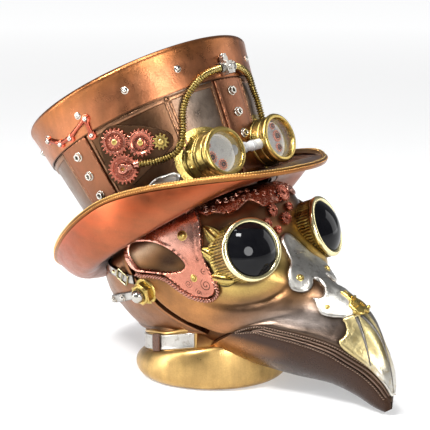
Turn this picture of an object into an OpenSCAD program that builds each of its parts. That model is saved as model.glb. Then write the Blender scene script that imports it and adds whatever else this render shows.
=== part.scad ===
// Plague doctor bust: a beaked leather mask and goggles on a head form, under a steampunk top hat.
// Millimetres, +Z up, the beak faces -Y, origin at the centre of the base's bottom face.
// Head and hat share a tilted frame whose origin is the centre of the hat's brim plane.
// Directions round the head are angles from the front, positive towards the figure's left (+X).

/* [Stand] */
// Radius of the base's foot
foot_r = 34; // [32:0.5:36]
// Widest radius of the base
belly_r = 36.3; // [35.5:0.1:38]
// Height of the base disc
base_h = 8; // [7:0.1:8.2]
// Thickness of the felt pad in the base
felt_t = 1.2; // [0.8:0.1:2]
// Outer radius of the neck collar
collar_r = 31.3; // [31:0.1:32]
// Wall of the neck collar
collar_wall = 2.3; // [1.5:0.1:2.6]
// Height of the collar's rim above the table, at the base's centre
collar_top = 25.2; // [24.6:0.1:25.6]
// Forward rise of the collar's rim and its strap, in degrees
neck_tilt = 12; // [10:0.5:12]
// Radius of the dowel that joins head and base
dowel_r = 4; // [3:0.5:6]

/* [Head pose] */
// Backward tilt of the head, in degrees
head_tilt = 31; // [31:0.5:31.5]
// Sideways roll of the head, in degrees
head_roll = 2.5; // [0:0.5:3]
// Height of the brim plane's centre above the table
head_z = 76; // [76:0.5:80]
// Distance of the brim plane's centre behind the base's centre
head_y = 13.7; // [12:0.1:15]

/* [Mask] */
// Thickness of the leather skins of mask and hood
skin_t = 2.3; // [1.5:0.1:2.4]
// Thickness of the metal plates laid on the skins
plate_t = 1.1; // [0.8:0.1:1.4]
// Clearance between the plates and the skins
plate_gap = 0.3; // [0.2:0.05:0.4]
// Radius of the rolled piping along the mouth seam
lip_r = 0.9; // [0.6:0.1:1.1]
// Radius of the roped trim on the cheek plates
rope_r = 1; // [0.7:0.1:1.2]

/* [Eyes] */
// Half distance between the eye rims' centres
eye_x = 26; // [25.5:0.5:27]
// Outer radius of an eye rim
eye_r = 14.2; // [13.5:0.1:14.6]
// Length of an eye barrel behind its rim
eye_len = 14; // [12:0.5:15]
// Outward splay of the eyes, in degrees
eye_splay = 18.5; // [15:0.5:20]
// Height of the glass dome above its rim
dome_h = 4.5; // [3:0.5:6]

/* [Hat] */
// Outer radius of the crown at the brim plane
crown_r = 43.6; // [43.6:0.1:44.5]
// Outer radius of the crown at its top
crown_top_r = 54.3; // [52:0.1:56]
// Height of the crown
crown_h = 64.7; // [60:0.1:68]
// Wall of the crown
crown_wall = 2.4; // [1.8:0.1:2.5]
// Width of the band round the crown's top
band_w = 20; // [17:0.5:22]
// Thickness of the band
band_t = 1.3; // [1:0.1:1.6]
// Number of rivets round the band
rivet_n = 13; // [8:1:16]
// Half length of the brim in front
brim_front = 73; // [70:0.5:76]
// Half length of the brim behind
brim_back = 80; // [76:0.5:84]
// Half width of the brim
brim_side = 57; // [55:0.5:60]
// How far the brim's sides roll up above the brim plane
brim_roll = 16.5; // [10:0.5:18]
// How far the brim sags at its left front corner
brim_sag = 3; // [0:0.5:3]
// Thickness of the brim
brim_t = 2; // [1.5:0.1:2.5]

/* [Gear train] */
// Tooth module
gear_m = 0.6; // [0.5:0.05:0.6]
// Thickness of a gear
gear_t = 1.6; // [1.2:0.1:2]
// Teeth of the upper left gear and of the middle gear
teeth_a = 20; // [18:1:20]
// Teeth of the lower gear
teeth_c = 22; // [20:1:22]
// Teeth of the pinion
teeth_p = 11; // [10:1:12]
// Radius of the gears' axles
axle_r = 0.8; // [0.6:0.1:1]
// Radial clearance of a gear on its axle
axle_gap = 0.05; // [0.03:0.01:0.08]

/* [Goggles and hose] */
// Half distance between the goggle rims' centres
goggle_x = 18.6; // [18:0.1:20]
// Outer radius of a goggle rim
goggle_r = 11.2; // [10.5:0.1:11.4]
// Outer radius of the corrugated hose
hose_r = 1.7; // [1.4:0.1:1.8]

/* [Hidden] */

$fn = 64;
eps = 0.05;
sides = [-1, 1];

// ---- Head shape -------------------------------------------------------------------------------
// Level sections of the head and beak in the head frame, from the skull's top to the beak's tip:
// height, half width, y of the widest place, y of the front, y of the back, front and back fullness
// (below 1 is boxy, above 1 is pinched).
HEAD = [
    [18, 2, 3, 0, 8, 1, 1],
    [15, 20, 3, -18, 24, 1, 1],
    [8, 32, 2, -32, 34, 1, 1],
    [0, 38, 1, -38.5, 39, 1, 1],
    [-4, 39, 2, -39.5, 40.5, 1, 1],
    [-9, 41, 4, -47, 54, 0.9, 1],
    [-16, 41, 5, -49, 58, 0.85, 1],
    [-28, 39, 4, -47.5, 55, 0.8, 1],
    [-40, 36.5, 0, -49.5, 49, 0.85, 1],
    [-52, 33, -8, -55, 42, 1, 1],
    [-62, 29, -16, -60, 27, 1.12, 1],
    [-72, 24, -27, -67.5, 8, 1.2, 1],
    [-82, 18.5, -38, -72.5, -7, 1.2, 1],
    [-92, 14, -49, -74, -22, 1.15, 1],
    [-102, 9.5, -57, -73, -39, 1.1, 1],
    [-112, 6.5, -60, -70, -50, 1, 1],
    [-120, 3.8, -61.5, -66, -56.5, 1, 1],
    [-124, 1.2, -62, -63.5, -60.5, 1, 1]];
// Height and half angle of the mouth seam, from the corner of the mouth to the tip
MOUTH = [[-62, 88], [-66, 74], [-72, 69.5], [-80, 66], [-90, 63], [-100, 61], [-106, 54], [-112, 43],
    [-118, 25], [-121, 6]];
// Height and half angle of the ridge plate's edge, with its lobes and notches
RIDGE = [[-33, 4], [-41, 8], [-46, 12], [-50, 20], [-57, 28], [-60, 22], [-63, 11], [-66, 18],
    [-70, 32], [-74, 34], [-79, 27]];
// Height and half angle of the tip plate's edge
TIP = [[-78, 27], [-84, 33], [-87, 43], [-90, 48], [-96, 49], [-102, 45], [-108, 34], [-112, 22], [-115, 9]];
// Height and angle of the cheek plate's front and rear edges
CHEEK_FRONT = [[-6, 44], [-9, 45], [-17, 48], [-25, 52.5], [-32, 54.5], [-38, 56.5], [-44, 64]];
CHEEK_REAR = [[-6, 93], [-9, 80], [-12.5, 75], [-18, 70], [-22, 68], [-27, 67], [-29, 72], [-31, 79],
    [-37, 77.5], [-42, 74], [-44, 70]];
// Angle and height of the brow lace's scalloped edge
BROW = [[-42, -11.8], [-31, -15], [-25, -15.5], [-14, -13], [0, -17.5], [14, -13], [25, -15.5],
    [31, -15], [42, -11.8]];
// Angle and height along the roped trim below the cheek
ROPE = [[93, -20], [87, -24.5], [81, -30], [79.5, -37], [76, -43], [69, -46], [62, -45]];

function lerp(a, b, t) = a + (b - a) * t;
function signed_pow(v, p) = sign(v) * pow(abs(v), p);
// Smooth curve through a table's column k
function seg(t, z, i = 0) = (i >= len(t) - 2 || z > t[i + 1][0]) ? i : seg(t, z, i + 1);
function chord(t, k, i) = (t[i + 1][k] - t[i][k]) / (t[i + 1][0] - t[i][0]);
function slope(t, k, i) =
    i == 0 ? chord(t, k, 0) :
    i == len(t) - 1 ? chord(t, k, i - 1) :
    let (a = t[i][0] - t[i - 1][0], b = t[i + 1][0] - t[i][0])
    (chord(t, k, i) * a + chord(t, k, i - 1) * b) / (a + b);
function smooth(t, k, z) =
    let (i = seg(t, z), h = t[i + 1][0] - t[i][0], s = (z - t[i][0]) / h)
    t[i][k] * (2 * s * s * s - 3 * s * s + 1) + slope(t, k, i) * h * (s * s * s - 2 * s * s + s)
    + t[i + 1][k] * (3 * s * s - 2 * s * s * s) + slope(t, k, i + 1) * h * (s * s * s - s * s);
// Point of the head's surface at angle th and height z, sunk by depth d (negative is proud of it)
function head_pt(th, z, d = 0) =
    let (c = cos(th), s = sin(th), w0 = smooth(HEAD, 1, z), e = d > 0 ? d * min(1, w0 / 8) : d,
        yc = smooth(HEAD, 2, z), y_end = c > 0 ? smooth(HEAD, 3, z) + e : smooth(HEAD, 4, z) - e,
        p = c > 0 ? smooth(HEAD, 5, z) : smooth(HEAD, 6, z))
    [(w0 - e) * signed_pow(s, p), yc + (y_end - yc) * pow(abs(c), p), z];
function quad(a, b, c, d) = [[a, b, c], [a, c, d]];
function flat(l) = [for (a = l) for (b = a) b];

// A sheet that follows the head: f(u, v) gives [angle, height], with the angle growing along u
// and the height falling along v; it lies between the depths d_out and d_in.
module patch(n_u, n_v, f, d_out, d_in) {
    function layer(d) = [for (i = [0:n_v]) for (j = [0:n_u])
        let (q = f(j / n_u, i / n_v)) head_pt(q[0], q[1], d)];
    n = (n_u + 1) * (n_v + 1);
    function id(k, i, j) = k * n + i * (n_u + 1) + j;
    skins = [for (i = [0:n_v - 1]) for (j = [0:n_u - 1])
        each concat(quad(id(0, i, j), id(0, i, j + 1), id(0, i + 1, j + 1), id(0, i + 1, j)),
            quad(id(1, i, j), id(1, i + 1, j), id(1, i + 1, j + 1), id(1, i, j + 1)))];
    ends = [for (j = [0:n_u - 1])
        each concat(quad(id(1, 0, j), id(1, 0, j + 1), id(0, 0, j + 1), id(0, 0, j)),
            quad(id(0, n_v, j), id(0, n_v, j + 1), id(1, n_v, j + 1), id(1, n_v, j)))];
    rims = [for (i = [0:n_v - 1])
        each concat(quad(id(0, i, 0), id(0, i + 1, 0), id(1, i + 1, 0), id(1, i, 0)),
            quad(id(0, i + 1, n_u), id(0, i, n_u), id(1, i, n_u), id(1, i + 1, n_u)))];
    polyhedron(concat(layer(d_out), layer(d_in)), concat(skins, ends, rims), convexity = 8);
}

// A closed solid through rows of points that each go round once, seen clockwise from below
module loft(rows, closed = false) {
    n = len(rows[0]);
    m = len(rows);
    function id(i, j) = (i % m) * n + j % n;
    walls = [for (i = [0:(closed ? m - 1 : m - 2)]) for (j = [0:n - 1])
        each quad(id(i, j), id(i, j + 1), id(i + 1, j + 1), id(i + 1, j))];
    caps = closed ? [] : [[for (j = [n - 1:-1:0]) id(0, j)], [for (j = [0:n - 1]) id(m - 1, j)]];
    polyhedron(flat(rows), concat(walls, caps), convexity = 8);
}

// A round tube of radius r with n sides that follows the points
module tube(path, r, n = 8) {
    m = len(path);
    function dir(i) = let (d = path[min(i + 1, m - 1)] - path[max(i - 1, 0)]) d / norm(d);
    function side(i) = let (s = cross(dir(i), [0, 0.3, 1])) s / norm(s);
    loft([for (i = [0:m - 1])
        let (a = side(i), b = cross(dir(i), a))
        [for (j = [0:n - 1]) path[i] + r * (cos(360 * j / n) * a - sin(360 * j / n) * b)]]);
}

// Smooth route through points, k steps between neighbours
function route(p, k) = [for (i = [0:len(p) - 2]) for (j = [0:(i == len(p) - 2 ? k : k - 1)])
    let (t = j / k, a = p[max(i - 1, 0)], b = p[i], c = p[i + 1], d = p[min(i + 2, len(p) - 1)])
    0.5 * (2 * b + (c - a) * t + (2 * a - 5 * b + 4 * c - d) * t * t + (3 * b - a - 3 * c + d) * t * t * t)];

module in_head() translate([0, head_y, head_z]) rotate([-head_tilt, -head_roll, 0]) children();

// Puts its children on the head's surface at angle th and height z, local Z outward
module on_head(th, z, d = 0, lean = 0) translate(head_pt(th, z, d)) rotate([0, 0, th]) rotate([90 + lean, 0, 0])
    children();

// ---- Stand ------------------------------------------------------------------------------------
felt_r = 31;
// The collar stops on both sides of the jaw; the strap follows it
collar_gap = 60;
dowel_x = 0;
dowel_y = 6;
dowel_low = 4;
dowel_high = 34;

module felt_pad() color("#3d3a36")
    cylinder(r = felt_r, h = felt_t);

module base_disc() color("#b18b4a")
    difference() {
        rotate_extrude($fn = 96)
            polygon([[0, felt_t], [felt_r + eps, felt_t], [felt_r + eps, 0], [foot_r, 0], [foot_r + 1.4, 1.2],
                [belly_r, 3.4], [belly_r, 5.6], [belly_r - 0.6, 6.8], [belly_r - 1.3, base_h], [0, base_h]]);
        translate([dowel_x, dowel_y, dowel_low])
            cylinder(r = dowel_r + eps, h = base_h);
    }

// A ring about the stand's axis that leaves the jaw's side open
module neck_arc(gap, r_in, r_out, z_a, z_b)
    rotate([0, 0, gap - 90])
        rotate_extrude(angle = 360 - 2 * gap, $fn = 96)
            translate([r_in, z_a])
                square([r_out - r_in, z_b - z_a]);

// The space between two planes that rise towards the front; heights are those at the axis
module neck_layer(z_a, z_b)
    rotate([-neck_tilt, 0, 0])
        translate([-50, -50, z_a * cos(neck_tilt)])
            cube([100, 100, (z_b - z_a) * cos(neck_tilt)]);

// The collar carries the upper part of the foot's bowl
module neck_collar() color("#b98f4c") {
    intersection() {
        neck_arc(collar_gap, collar_r - collar_wall, collar_r, base_h, 40);
        neck_layer(-20, collar_top);
    }
    rotate([0, 0, collar_gap - 90])
        rotate_extrude(angle = 360 - 2 * collar_gap, $fn = 96)
            polygon([[collar_r - 1, base_h], [belly_r - 1.5, base_h], [collar_r, base_h + 1.6],
                [collar_r - 1, base_h + 1.6]]);
}

strap_low = 16.6;
strap_high = 23.9;
keeper_angle = -100;
module neck_strap() color("#c9cac6")
    intersection() {
        neck_arc(collar_gap + 2, collar_r + eps, collar_r + 0.9, base_h, 40);
        neck_layer(strap_low, strap_high);
    }

module strap_keeper() color("#6b3f22")
    intersection() {
        rotate([0, 0, keeper_angle - 90 - 5])
            rotate_extrude(angle = 10, $fn = 96)
                translate([collar_r + 0.95, base_h])
                    square([0.8, 32]);
        neck_layer(strap_low - 0.6, strap_high + 0.6);
    }

// Room for the collar and its strap in the pieces that hang over it
module collar_room()
    intersection() {
        neck_arc(collar_gap - 2, collar_r - collar_wall - 0.15, collar_r + 2, 0, 40);
        neck_layer(-20, collar_top + 0.2);
    }

module neck_dowel() color("#8d8f92")
    translate([dowel_x, dowel_y, dowel_low + eps])
        cylinder(r = dowel_r, h = dowel_high - dowel_low);

// ---- Head and mask ----------------------------------------------------------------------------
plate_out = plate_t + plate_gap;
// Depth of the head form below the skins, greater under the hat's ledge and at the skull's top
function core_depth(z) = skin_t + 0.7 + 4 * max(0, 1 - abs(z + 7) / 9) + 0.5 * max(0, z);
hood_edge = 97;
mask_edge = 94;
hood_top = 16.5;
mask_top = -4.6;
function heights(a, b, n) = [for (i = [0:n]) lerp(a, b, i / n)];
// The hood's lower edge rises towards the nape
function hood_low(th) = -32 - 27 * pow(min(1, abs(th - 180) / (180 - hood_edge)), 1.6);

module head_form() color("#6b5038")
    difference() {
        in_head()
            loft([for (z = concat(heights(17, 9, 4), heights(5, -110, 24), heights(-113, -123, 4)))
                [for (j = [0:27]) head_pt(360 * j / 28, z, core_depth(z))]]);
        translate([dowel_x, dowel_y, 0])
            cylinder(r = dowel_r + eps, h = dowel_high + 0.2);
        collar_room();
        for (s = sides)
            eye_place(s)
                translate([0, 0, -eye_len - 0.15])
                    cylinder(r = eye_r + 0.15, h = 2 * eye_len);
    }

module hood_shell() color("#8a5d33")
    difference() {
        in_head()
            patch(18, 12, function (u, v) let (th = lerp(hood_edge, 360 - hood_edge, u))
                [th, lerp(hood_top, hood_low(th), v)], 0, skin_t);
        collar_room();
    }

module mask_shell() color("#9a7442")
    difference() {
        in_head()
            patch(20, 26, function (u, v) let (z = lerp(mask_top, -120.4, v),
                a = z > -62 ? mask_edge - max(0, -z - 50) * 0.5 : smooth(MOUTH, 1, z)) [lerp(-a, a, u), z], 0, skin_t);
        collar_room();
        for (s = sides)
            eye_place(s)
                translate([0, 0, -eye_len - 1])
                    cylinder(r = eye_r + 0.15, h = 2 * eye_len);
    }

module lower_beak() color("#4a3a30")
    difference() {
        in_head()
            patch(18, 20, function (u, v) let (z = lerp(-64, -123.4, v),
                a = z > -121 ? smooth(MOUTH, 1, z) + 1 : 6) [lerp(a, 360 - a, u), z], 0, skin_t);
        collar_room();
    }

// Both lips run from one corner of the mouth round the tip to the other corner
module mouth_piping() color("#7d6a5f")
    in_head()
        for (lip = [-1, 1]) {
            near = [for (z = [-64:-6:-118]) head_pt(-smooth(MOUTH, 1, z) - lip * (4 + (-z - 62) * 0.1), z, -lip_r - 0.15)];
            far = [for (z = [-118:6:-64]) head_pt(smooth(MOUTH, 1, z) + lip * (4 + (-z - 62) * 0.1), z, -lip_r - 0.15)];
            tube(near, lip_r, 6);
            tube(far, lip_r, 6);
        }

// ---- Beak fittings ----------------------------------------------------------------------------
clamp_z = -77;
module beak_plate() color("#c4c5c0")
    in_head()
        patch(8, 20, function (u, v) let (z = lerp(-33, -78, v), a = smooth(RIDGE, 1, z)) [lerp(-a, a, u), z],
            -plate_out, -plate_gap);

module beak_tip_plate() color("#b9a25c")
    in_head()
        patch(8, 16, function (u, v) let (z = lerp(-78.6, -115, v), a = smooth(TIP, 1, z)) [lerp(-a, a, u), z],
            -plate_out, -plate_gap);

module beak_clamp() color("#b79545")
    in_head()
        patch(6, 4, function (u, v) [lerp(-19, 19, u), lerp(clamp_z + 3, clamp_z - 3, v)],
            -plate_out - 1.3, -plate_out - 0.15);

// Button-headed fastener, base at z = 0
module rivet(r, h)
    rotate_extrude($fn = 24)
        intersection() {
            translate([0, h - r * 1.25])
                circle(r * 1.25);
            square([r, h]);
        }

module beak_fasteners() color("#c09a44")
    in_head()
        for (s = sides) {
            on_head(s * 17, -55.5, -plate_out - 0.3, -20)
                rivet(1.5, 1.4);
            on_head(s * 25, -72, -plate_out - 0.5, -20)
                rivet(1.1, 1.1);
            on_head(s * 9, clamp_z, -plate_out - 1.9, -15)
                rivet(1, 1.3);
        }

// ---- Eyes -------------------------------------------------------------------------------------
eye_y = -51.5;
eye_z = -35;
eye_dip = 8;
rim_t = 2.4;
// Local Z looks out of the eye on side s, with its origin at the rim's front plane
module eye_place(s)
    in_head()
        translate([s * eye_x, eye_y, eye_z])
            rotate([0, 0, s * eye_splay])
                rotate([90 + eye_dip, 0, 0])
                    children();

module eye_barrel(s) color("#a8893d")
    eye_place(s)
        difference() {
            translate([0, 0, -eye_len])
                cylinder(r = eye_r, h = eye_len - rim_t - 0.02);
            translate([0, 0, -eye_len + 2])
                cylinder(r = eye_r - 2, h = eye_len);
        }

module eye_ring(s) color("#e8d79a")
    eye_place(s)
        rotate_extrude($fn = 96)
            polygon([[eye_r - 2.4, -rim_t], [eye_r, -rim_t], [eye_r + 0.3, -rim_t / 2], [eye_r - 0.3, 0],
                [eye_r - 1.4, 0.3], [eye_r - 2.4, -0.3]]);

module eye_lens(s) color("#101010") {
    glass_r = eye_r - 2.45;
    ball_r = (glass_r * glass_r + dome_h * dome_h) / (2 * dome_h);
    eye_place(s)
        rotate_extrude($fn = 96)
            intersection() {
                translate([0, dome_h - ball_r])
                    circle(ball_r, $fn = 180);
                translate([0, -rim_t])
                    square([glass_r, rim_t + dome_h]);
            }
}

// Three leaf-shaped claws hold each barrel on its outer side
CLAWS = [[47, -15], [55, -24.5], [60, -38]];
module eye_claws() color("#ab8f45")
    for (s = sides)
        for (c = CLAWS)
            in_head()
                on_head(s * c[0], c[1], -2.9)
                    rotate([0, 0, c[0] - 60])
                        scale(1.4)
                            rivet(1.4, 1.6);

// ---- Cheeks and brow --------------------------------------------------------------------------
module cheek_plate(s) color("#c9795f")
    in_head()
        patch(7, 20, function (u, v) let (z = lerp(-6, -44, v), a = smooth(CHEEK_FRONT, 1, z), b = smooth(CHEEK_REAR, 1, z))
            [s * (s > 0 ? lerp(a, b, u) : lerp(b, a, u)), z], -plate_out, -plate_gap);

module cheek_trim(s) color("#b8674f")
    in_head()
        tube(route([for (q = ROPE) head_pt(s * q[0], q[1], -plate_out - rope_r - 0.1)], 3), rope_r, 6);

module cheek_rivets() color("#b0813a")
    in_head()
        for (s = sides)
            for (q = [[60, -14.5, 2], [67.5, -34.5, 1.5]])
                on_head(s * q[0], q[1], -plate_out - 0.4, -8)
                    rivet(q[2], 1.6);

module brow_trim() color("#b8654c")
    in_head()
        patch(28, 3, function (u, v) let (th = lerp(-41, 41, u)) [th, lerp(-8.5, smooth([for (q = BROW) [-q[0], q[1]]], 1, th), v)],
            -plate_out, -plate_gap);

module brow_gears() color("#c0705a")
    in_head()
        for (g = [[10, -13.5, 4.2, 14], [-1, -20.6, 2, 9], [-7, -24, 2, 9], [5, -25, 2.5, 10]])
            on_head(g[0], g[1], -plate_out - 0.4)
                gear(g[3], 2 * g[2] / (g[3] + 1.6), 1, 0.7);

// ---- Straps of the mask -----------------------------------------------------------------------
boss_th = 97;
boss_z = -29;
boss_r = 5.6;
module side_straps() color("#c6c7c3")
    in_head()
        for (s = sides)
            patch(8, 2, function (u, v) let (t = s > 0 ? u : 1 - u)
                [s * lerp(97.5, 122, t), lerp(-22, -9, t) + lerp(2.2, -2.2, v)], -0.95, -0.1);

module side_buckles() color("#b8933f")
    in_head()
        for (s = sides)
            on_head(s * 104, -18, -1.2)
                rotate([0, 0, s * 28])
                    linear_extrude(1.2)
                        difference() {
                            offset(0.8)
                                square([5, 6.4], center = true);
                            square([3.2, 5.4], center = true);
                        }

module nape_strap() color("#c2c3bf")
    in_head()
        patch(24, 2, function (u, v) let (th = lerp(104, 256, u)) [th, -20 - 8 * pow(abs(th - 180) / 76, 2) + lerp(1.9, -1.9, v)],
            -0.95, -0.1);

module nape_studs() color("#d2d3d0")
    in_head()
        for (th = [118, 136, 224, 242])
            on_head(th, -20 - 8 * pow(abs(th - 180) / 76, 2), -1.3)
                rivet(1.5, 1.8);

module ear_bosses() color("#b8933f")
    in_head()
        for (s = sides)
            on_head(s * boss_th, boss_z, -1.3)
                cylinder(r = boss_r, h = 4, $fn = 6);

module ear_screws() color("#d6d7d4")
    in_head()
        for (s = sides)
            on_head(s * boss_th, boss_z, -5.35)
                rotate_extrude($fn = 40)
                    intersection() {
                        translate([0, 1.6])
                            circle(3);
                        square([3, 5]);
                    }

// ---- Hat --------------------------------------------------------------------------------------
crown_slope = (crown_top_r - crown_r) / crown_h;
flare = atan(crown_slope);
crown_low = -2;
lining = 0.8;
function crown_at(z) = crown_r + crown_slope * z;

// Puts its children on the crown's wall at angle az and height z, standing d proud of it
module on_crown(az, z, d = 0)
    rotate([0, 0, az])
        translate([0, -crown_at(z), z])
            rotate([90 + flare, 0, 0])
                translate([0, 0, d])
                    children();

// A conical shell outside the crown's wall, from height z_a to z_b
module crown_sleeve(z_a, z_b, d, t, from = 0, angle = 360)
    rotate([0, 0, from - 90])
        rotate_extrude(angle = angle, $fn = 120)
            polygon([[crown_at(z_a) + d, z_a], [crown_at(z_a) + d + t, z_a],
                [crown_at(z_b) + d + t, z_b], [crown_at(z_b) + d, z_b]]);

module crown_solid(d)
    translate([0, 0, -20])
        cylinder(r1 = crown_at(-20) + d, r2 = crown_at(crown_h + 5) + d, h = crown_h + 25, $fn = 120);

crown_shell_top = crown_h - 2.2;
module hat_crown() color("#4d3424")
    in_head()
        crown_sleeve(crown_low, crown_shell_top, -crown_wall, crown_wall);

module hat_top() color("#8f5a39")
    in_head()
        translate([0, 0, crown_shell_top + 0.02])
            cylinder(r1 = crown_at(crown_shell_top), r2 = crown_at(crown_shell_top + 1.6), h = 1.6, $fn = 120);

band_low = crown_h - band_w;
module hat_band() color("#b5764a")
    in_head()
        rotate_extrude($fn = 120)
            polygon([[crown_at(band_low) + eps, band_low], [crown_at(band_low) + band_t, band_low],
                [crown_at(band_low + 10) + band_t + 0.3, band_low + 10],
                [crown_top_r + band_t - 0.4, crown_h - 1], [crown_top_r + 0.2, crown_h],
                [crown_top_r - 0.6, crown_h], [crown_at(crown_shell_top + 1.7) + eps, crown_shell_top + 1.7]]);

rivet_z = 54;
rivet_first = 4.7;
module band_rivets() color("#cfd0cd")
    in_head()
        for (i = [0:rivet_n - 1])
            on_crown(rivet_first + 360 * i / rivet_n, rivet_z, band_t + 0.45)
                rivet(1.4, 1.5);

STRAP_ANGLES = [5.5, -92, 95.5, 180];
NUT_HEIGHTS = [18.5, 28.5, 38.5];
strap_half = 10.5;
hat_strap_t = 1;
module hat_straps() color("#a0623f")
    in_head()
        for (az = STRAP_ANGLES)
            crown_sleeve(0, band_low - 0.1, eps, hat_strap_t, az - strap_half, 2 * strap_half);

module strap_studs() color("#d6d6d2")
    in_head()
        for (az = STRAP_ANGLES)
            for (z = NUT_HEIGHTS)
                on_crown(az, z, hat_strap_t + 0.1)
                    cylinder(r = 0.85, h = 1.9, $fn = 20);

module strap_nuts() color("#b9bab6")
    in_head()
        for (az = STRAP_ANGLES)
            for (z = NUT_HEIGHTS)
                on_crown(az, z, hat_strap_t + 0.1)
                    difference() {
                        cylinder(r = 1.8, h = 1.3, $fn = 6);
                        translate([0, 0, -1])
                            cylinder(r = 0.9, h = 4, $fn = 20);
                    }

// Line of the brim at angle az: from the crown's wall, down and out, and up at the rolled sides
function brim_share(az) = pow(abs(sin(az)), 1.8);
function brim_drop(az) = cos(az) > 0 ? brim_sag * max(0, sin(2 * az)) : 0;
function brim_edge(az) = let (c = cos(az), a = c > 0 ? brim_front : brim_back, s = brim_share(az))
    [1 / sqrt(pow(sin(az) / brim_side, 2) + pow(c / a, 2)),
        brim_roll * s + (1 - s) * (c > 0 ? -10 : 6) - brim_drop(az)];
function brim_bend(az) = let (s = brim_share(az))
    [62 + 3 * (1 - s), -22 * s + (1 - s) * (cos(az) > 0 ? -8 : -16) + 3.5 * brim_drop(az)];
function brim_line(az, t) = let (root = [crown_r + 0.7, -1.1])
    (1 - t) * (1 - t) * root + 2 * t * (1 - t) * brim_bend(az) + t * t * brim_edge(az);
function brim_normal(az, t) = let (d = brim_line(az, min(1, t + 0.02)) - brim_line(az, max(0, t - 0.02)))
    [-d[1], d[0]] / norm(d);
function round_axis(az, p) = [p[0] * sin(az), -p[0] * cos(az), p[1]];
brim_steps = 60;
BRIM_SHARES = [0, 0.14, 0.28, 0.42, 0.56, 0.7, 0.82, 0.93];
module hat_brim() color("#b9673f")
    in_head()
        loft([for (i = [0:brim_steps - 1])
            let (az = -360 * i / brim_steps)
            concat([for (t = BRIM_SHARES) round_axis(az, brim_line(az, t) + brim_t / 2 * brim_normal(az, t))],
                [for (k = [7:-1:0]) let (t = BRIM_SHARES[k])
                    round_axis(az, brim_line(az, t) - brim_t / 2 * brim_normal(az, t))])],
            closed = true);

binding_r = 1.6;
module brim_binding() color("#d3a052")
    in_head()
        loft([for (i = [0:brim_steps - 1])
            let (az = -360 * i / brim_steps, d = brim_line(az, 0.93) - brim_line(az, 0.83),
                e = brim_line(az, 0.93) + (binding_r + eps) * d / norm(d))
            [for (j = [0:5]) round_axis(az, e + binding_r * [cos(60 * j), -sin(60 * j)])]],
            closed = true);

module sweatband() color("#3a2a1e")
    in_head()
        crown_sleeve(crown_low + 1, 12, -crown_wall - lining - eps, lining);

// ---- Gear train -------------------------------------------------------------------------------
train_az = -58;
train_z = 29;
plate_proud = 1;
gear_gap = 0.2;
pitch_a = gear_m * teeth_a / 2;
pitch_c = gear_m * teeth_c / 2;
pitch_p = gear_m * teeth_p / 2;
// Places of the axles on the plate, each one centre distance from the last
dir_b = -27;
dir_c = -97.5;
dir_p = -22.5;
place_a = [-7.5, 6.5];
place_b = place_a + 2 * pitch_a * [cos(dir_b), sin(dir_b)];
place_c = place_a + (pitch_a + pitch_c) * [cos(dir_c), sin(dir_c)];
place_p = place_b + (pitch_a + pitch_p) * [cos(dir_p), sin(dir_p)];
// Turns that bring each gear's gap to the tooth of the gear that drives it
turn_b = 180 + dir_b + 180 / teeth_a;
turn_c = 180 + dir_c + 180 / teeth_c - (dir_b - dir_c) * teeth_a / teeth_c;
turn_p = 180 + dir_p + 180 / teeth_p - (turn_b - dir_p) * teeth_a / teeth_p;

// Toothed disc with n teeth of module m, thickness t and bore radius bore; a tooth lies on +X
module gear(n, m, t, bore) {
    r_root = m * (n / 2 - 1.1);
    r_tip = m * (n / 2 + 0.75);
    root_half = 360 / n * 0.27;
    tip_half = 360 / n * 0.11;
    linear_extrude(t)
        difference() {
            polygon([for (i = [0:n - 1]) for (q = [[r_root, -root_half], [r_tip, -tip_half], [r_tip, tip_half], [r_root, root_half]])
                q[0] * [cos(360 * i / n + q[1]), sin(360 * i / n + q[1])]]);
            circle(bore, $fn = 24);
        }
}

module on_train(p, d = 0)
    in_head()
        on_crown(train_az, train_z, d)
            translate([p[0], p[1], 0])
                children();

module gear_plate() color("#3c2a1f")
    in_head()
        difference() {
            on_crown(train_az, train_z, -6)
                linear_extrude(6 + plate_proud)
                    difference() {
                        union() {
                            hull() {
                                translate(place_a)
                                    circle(pitch_a + 1.6, $fn = 32);
                                translate(place_b)
                                    circle(pitch_a + 1.6, $fn = 32);
                                translate(place_c)
                                    circle(pitch_c + 1.6, $fn = 32);
                            }
                            hull() {
                                translate(place_b)
                                    circle(pitch_a + 1.4, $fn = 32);
                                translate(place_p)
                                    circle(pitch_p + 1.4, $fn = 32);
                            }
                        }
                        for (p = [place_a, place_b, place_c, place_p])
                            translate(p)
                                circle(axle_r + eps, $fn = 24);
                    }
            crown_solid(eps);
        }

axle_low = 0.2;
module gear_axles() color("#c8b06a")
    for (p = [place_a, place_b, place_c, place_p])
        on_train(p, axle_low) {
            cylinder(r = axle_r, h = plate_proud + 2 * gear_gap + gear_t - axle_low, $fn = 24);
            translate([0, 0, plate_proud + 2 * gear_gap + gear_t - axle_low])
                cylinder(r = axle_r + 0.5, h = 0.4, $fn = 24);
        }

module train_gear(p, n, turn)
    on_train(p, plate_proud + gear_gap)
        rotate([0, 0, turn])
            gear(n, gear_m, gear_t, axle_r + axle_gap);

module gear_a() color("#c9745c") train_gear(place_a, teeth_a, dir_b);
module gear_b() color("#cf7d64") train_gear(place_b, teeth_a, turn_b);
module gear_c() color("#c26d56") train_gear(place_c, teeth_c, turn_c);
module gear_pinion() color("#b59a4c") train_gear(place_p, teeth_p, turn_p);

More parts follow.
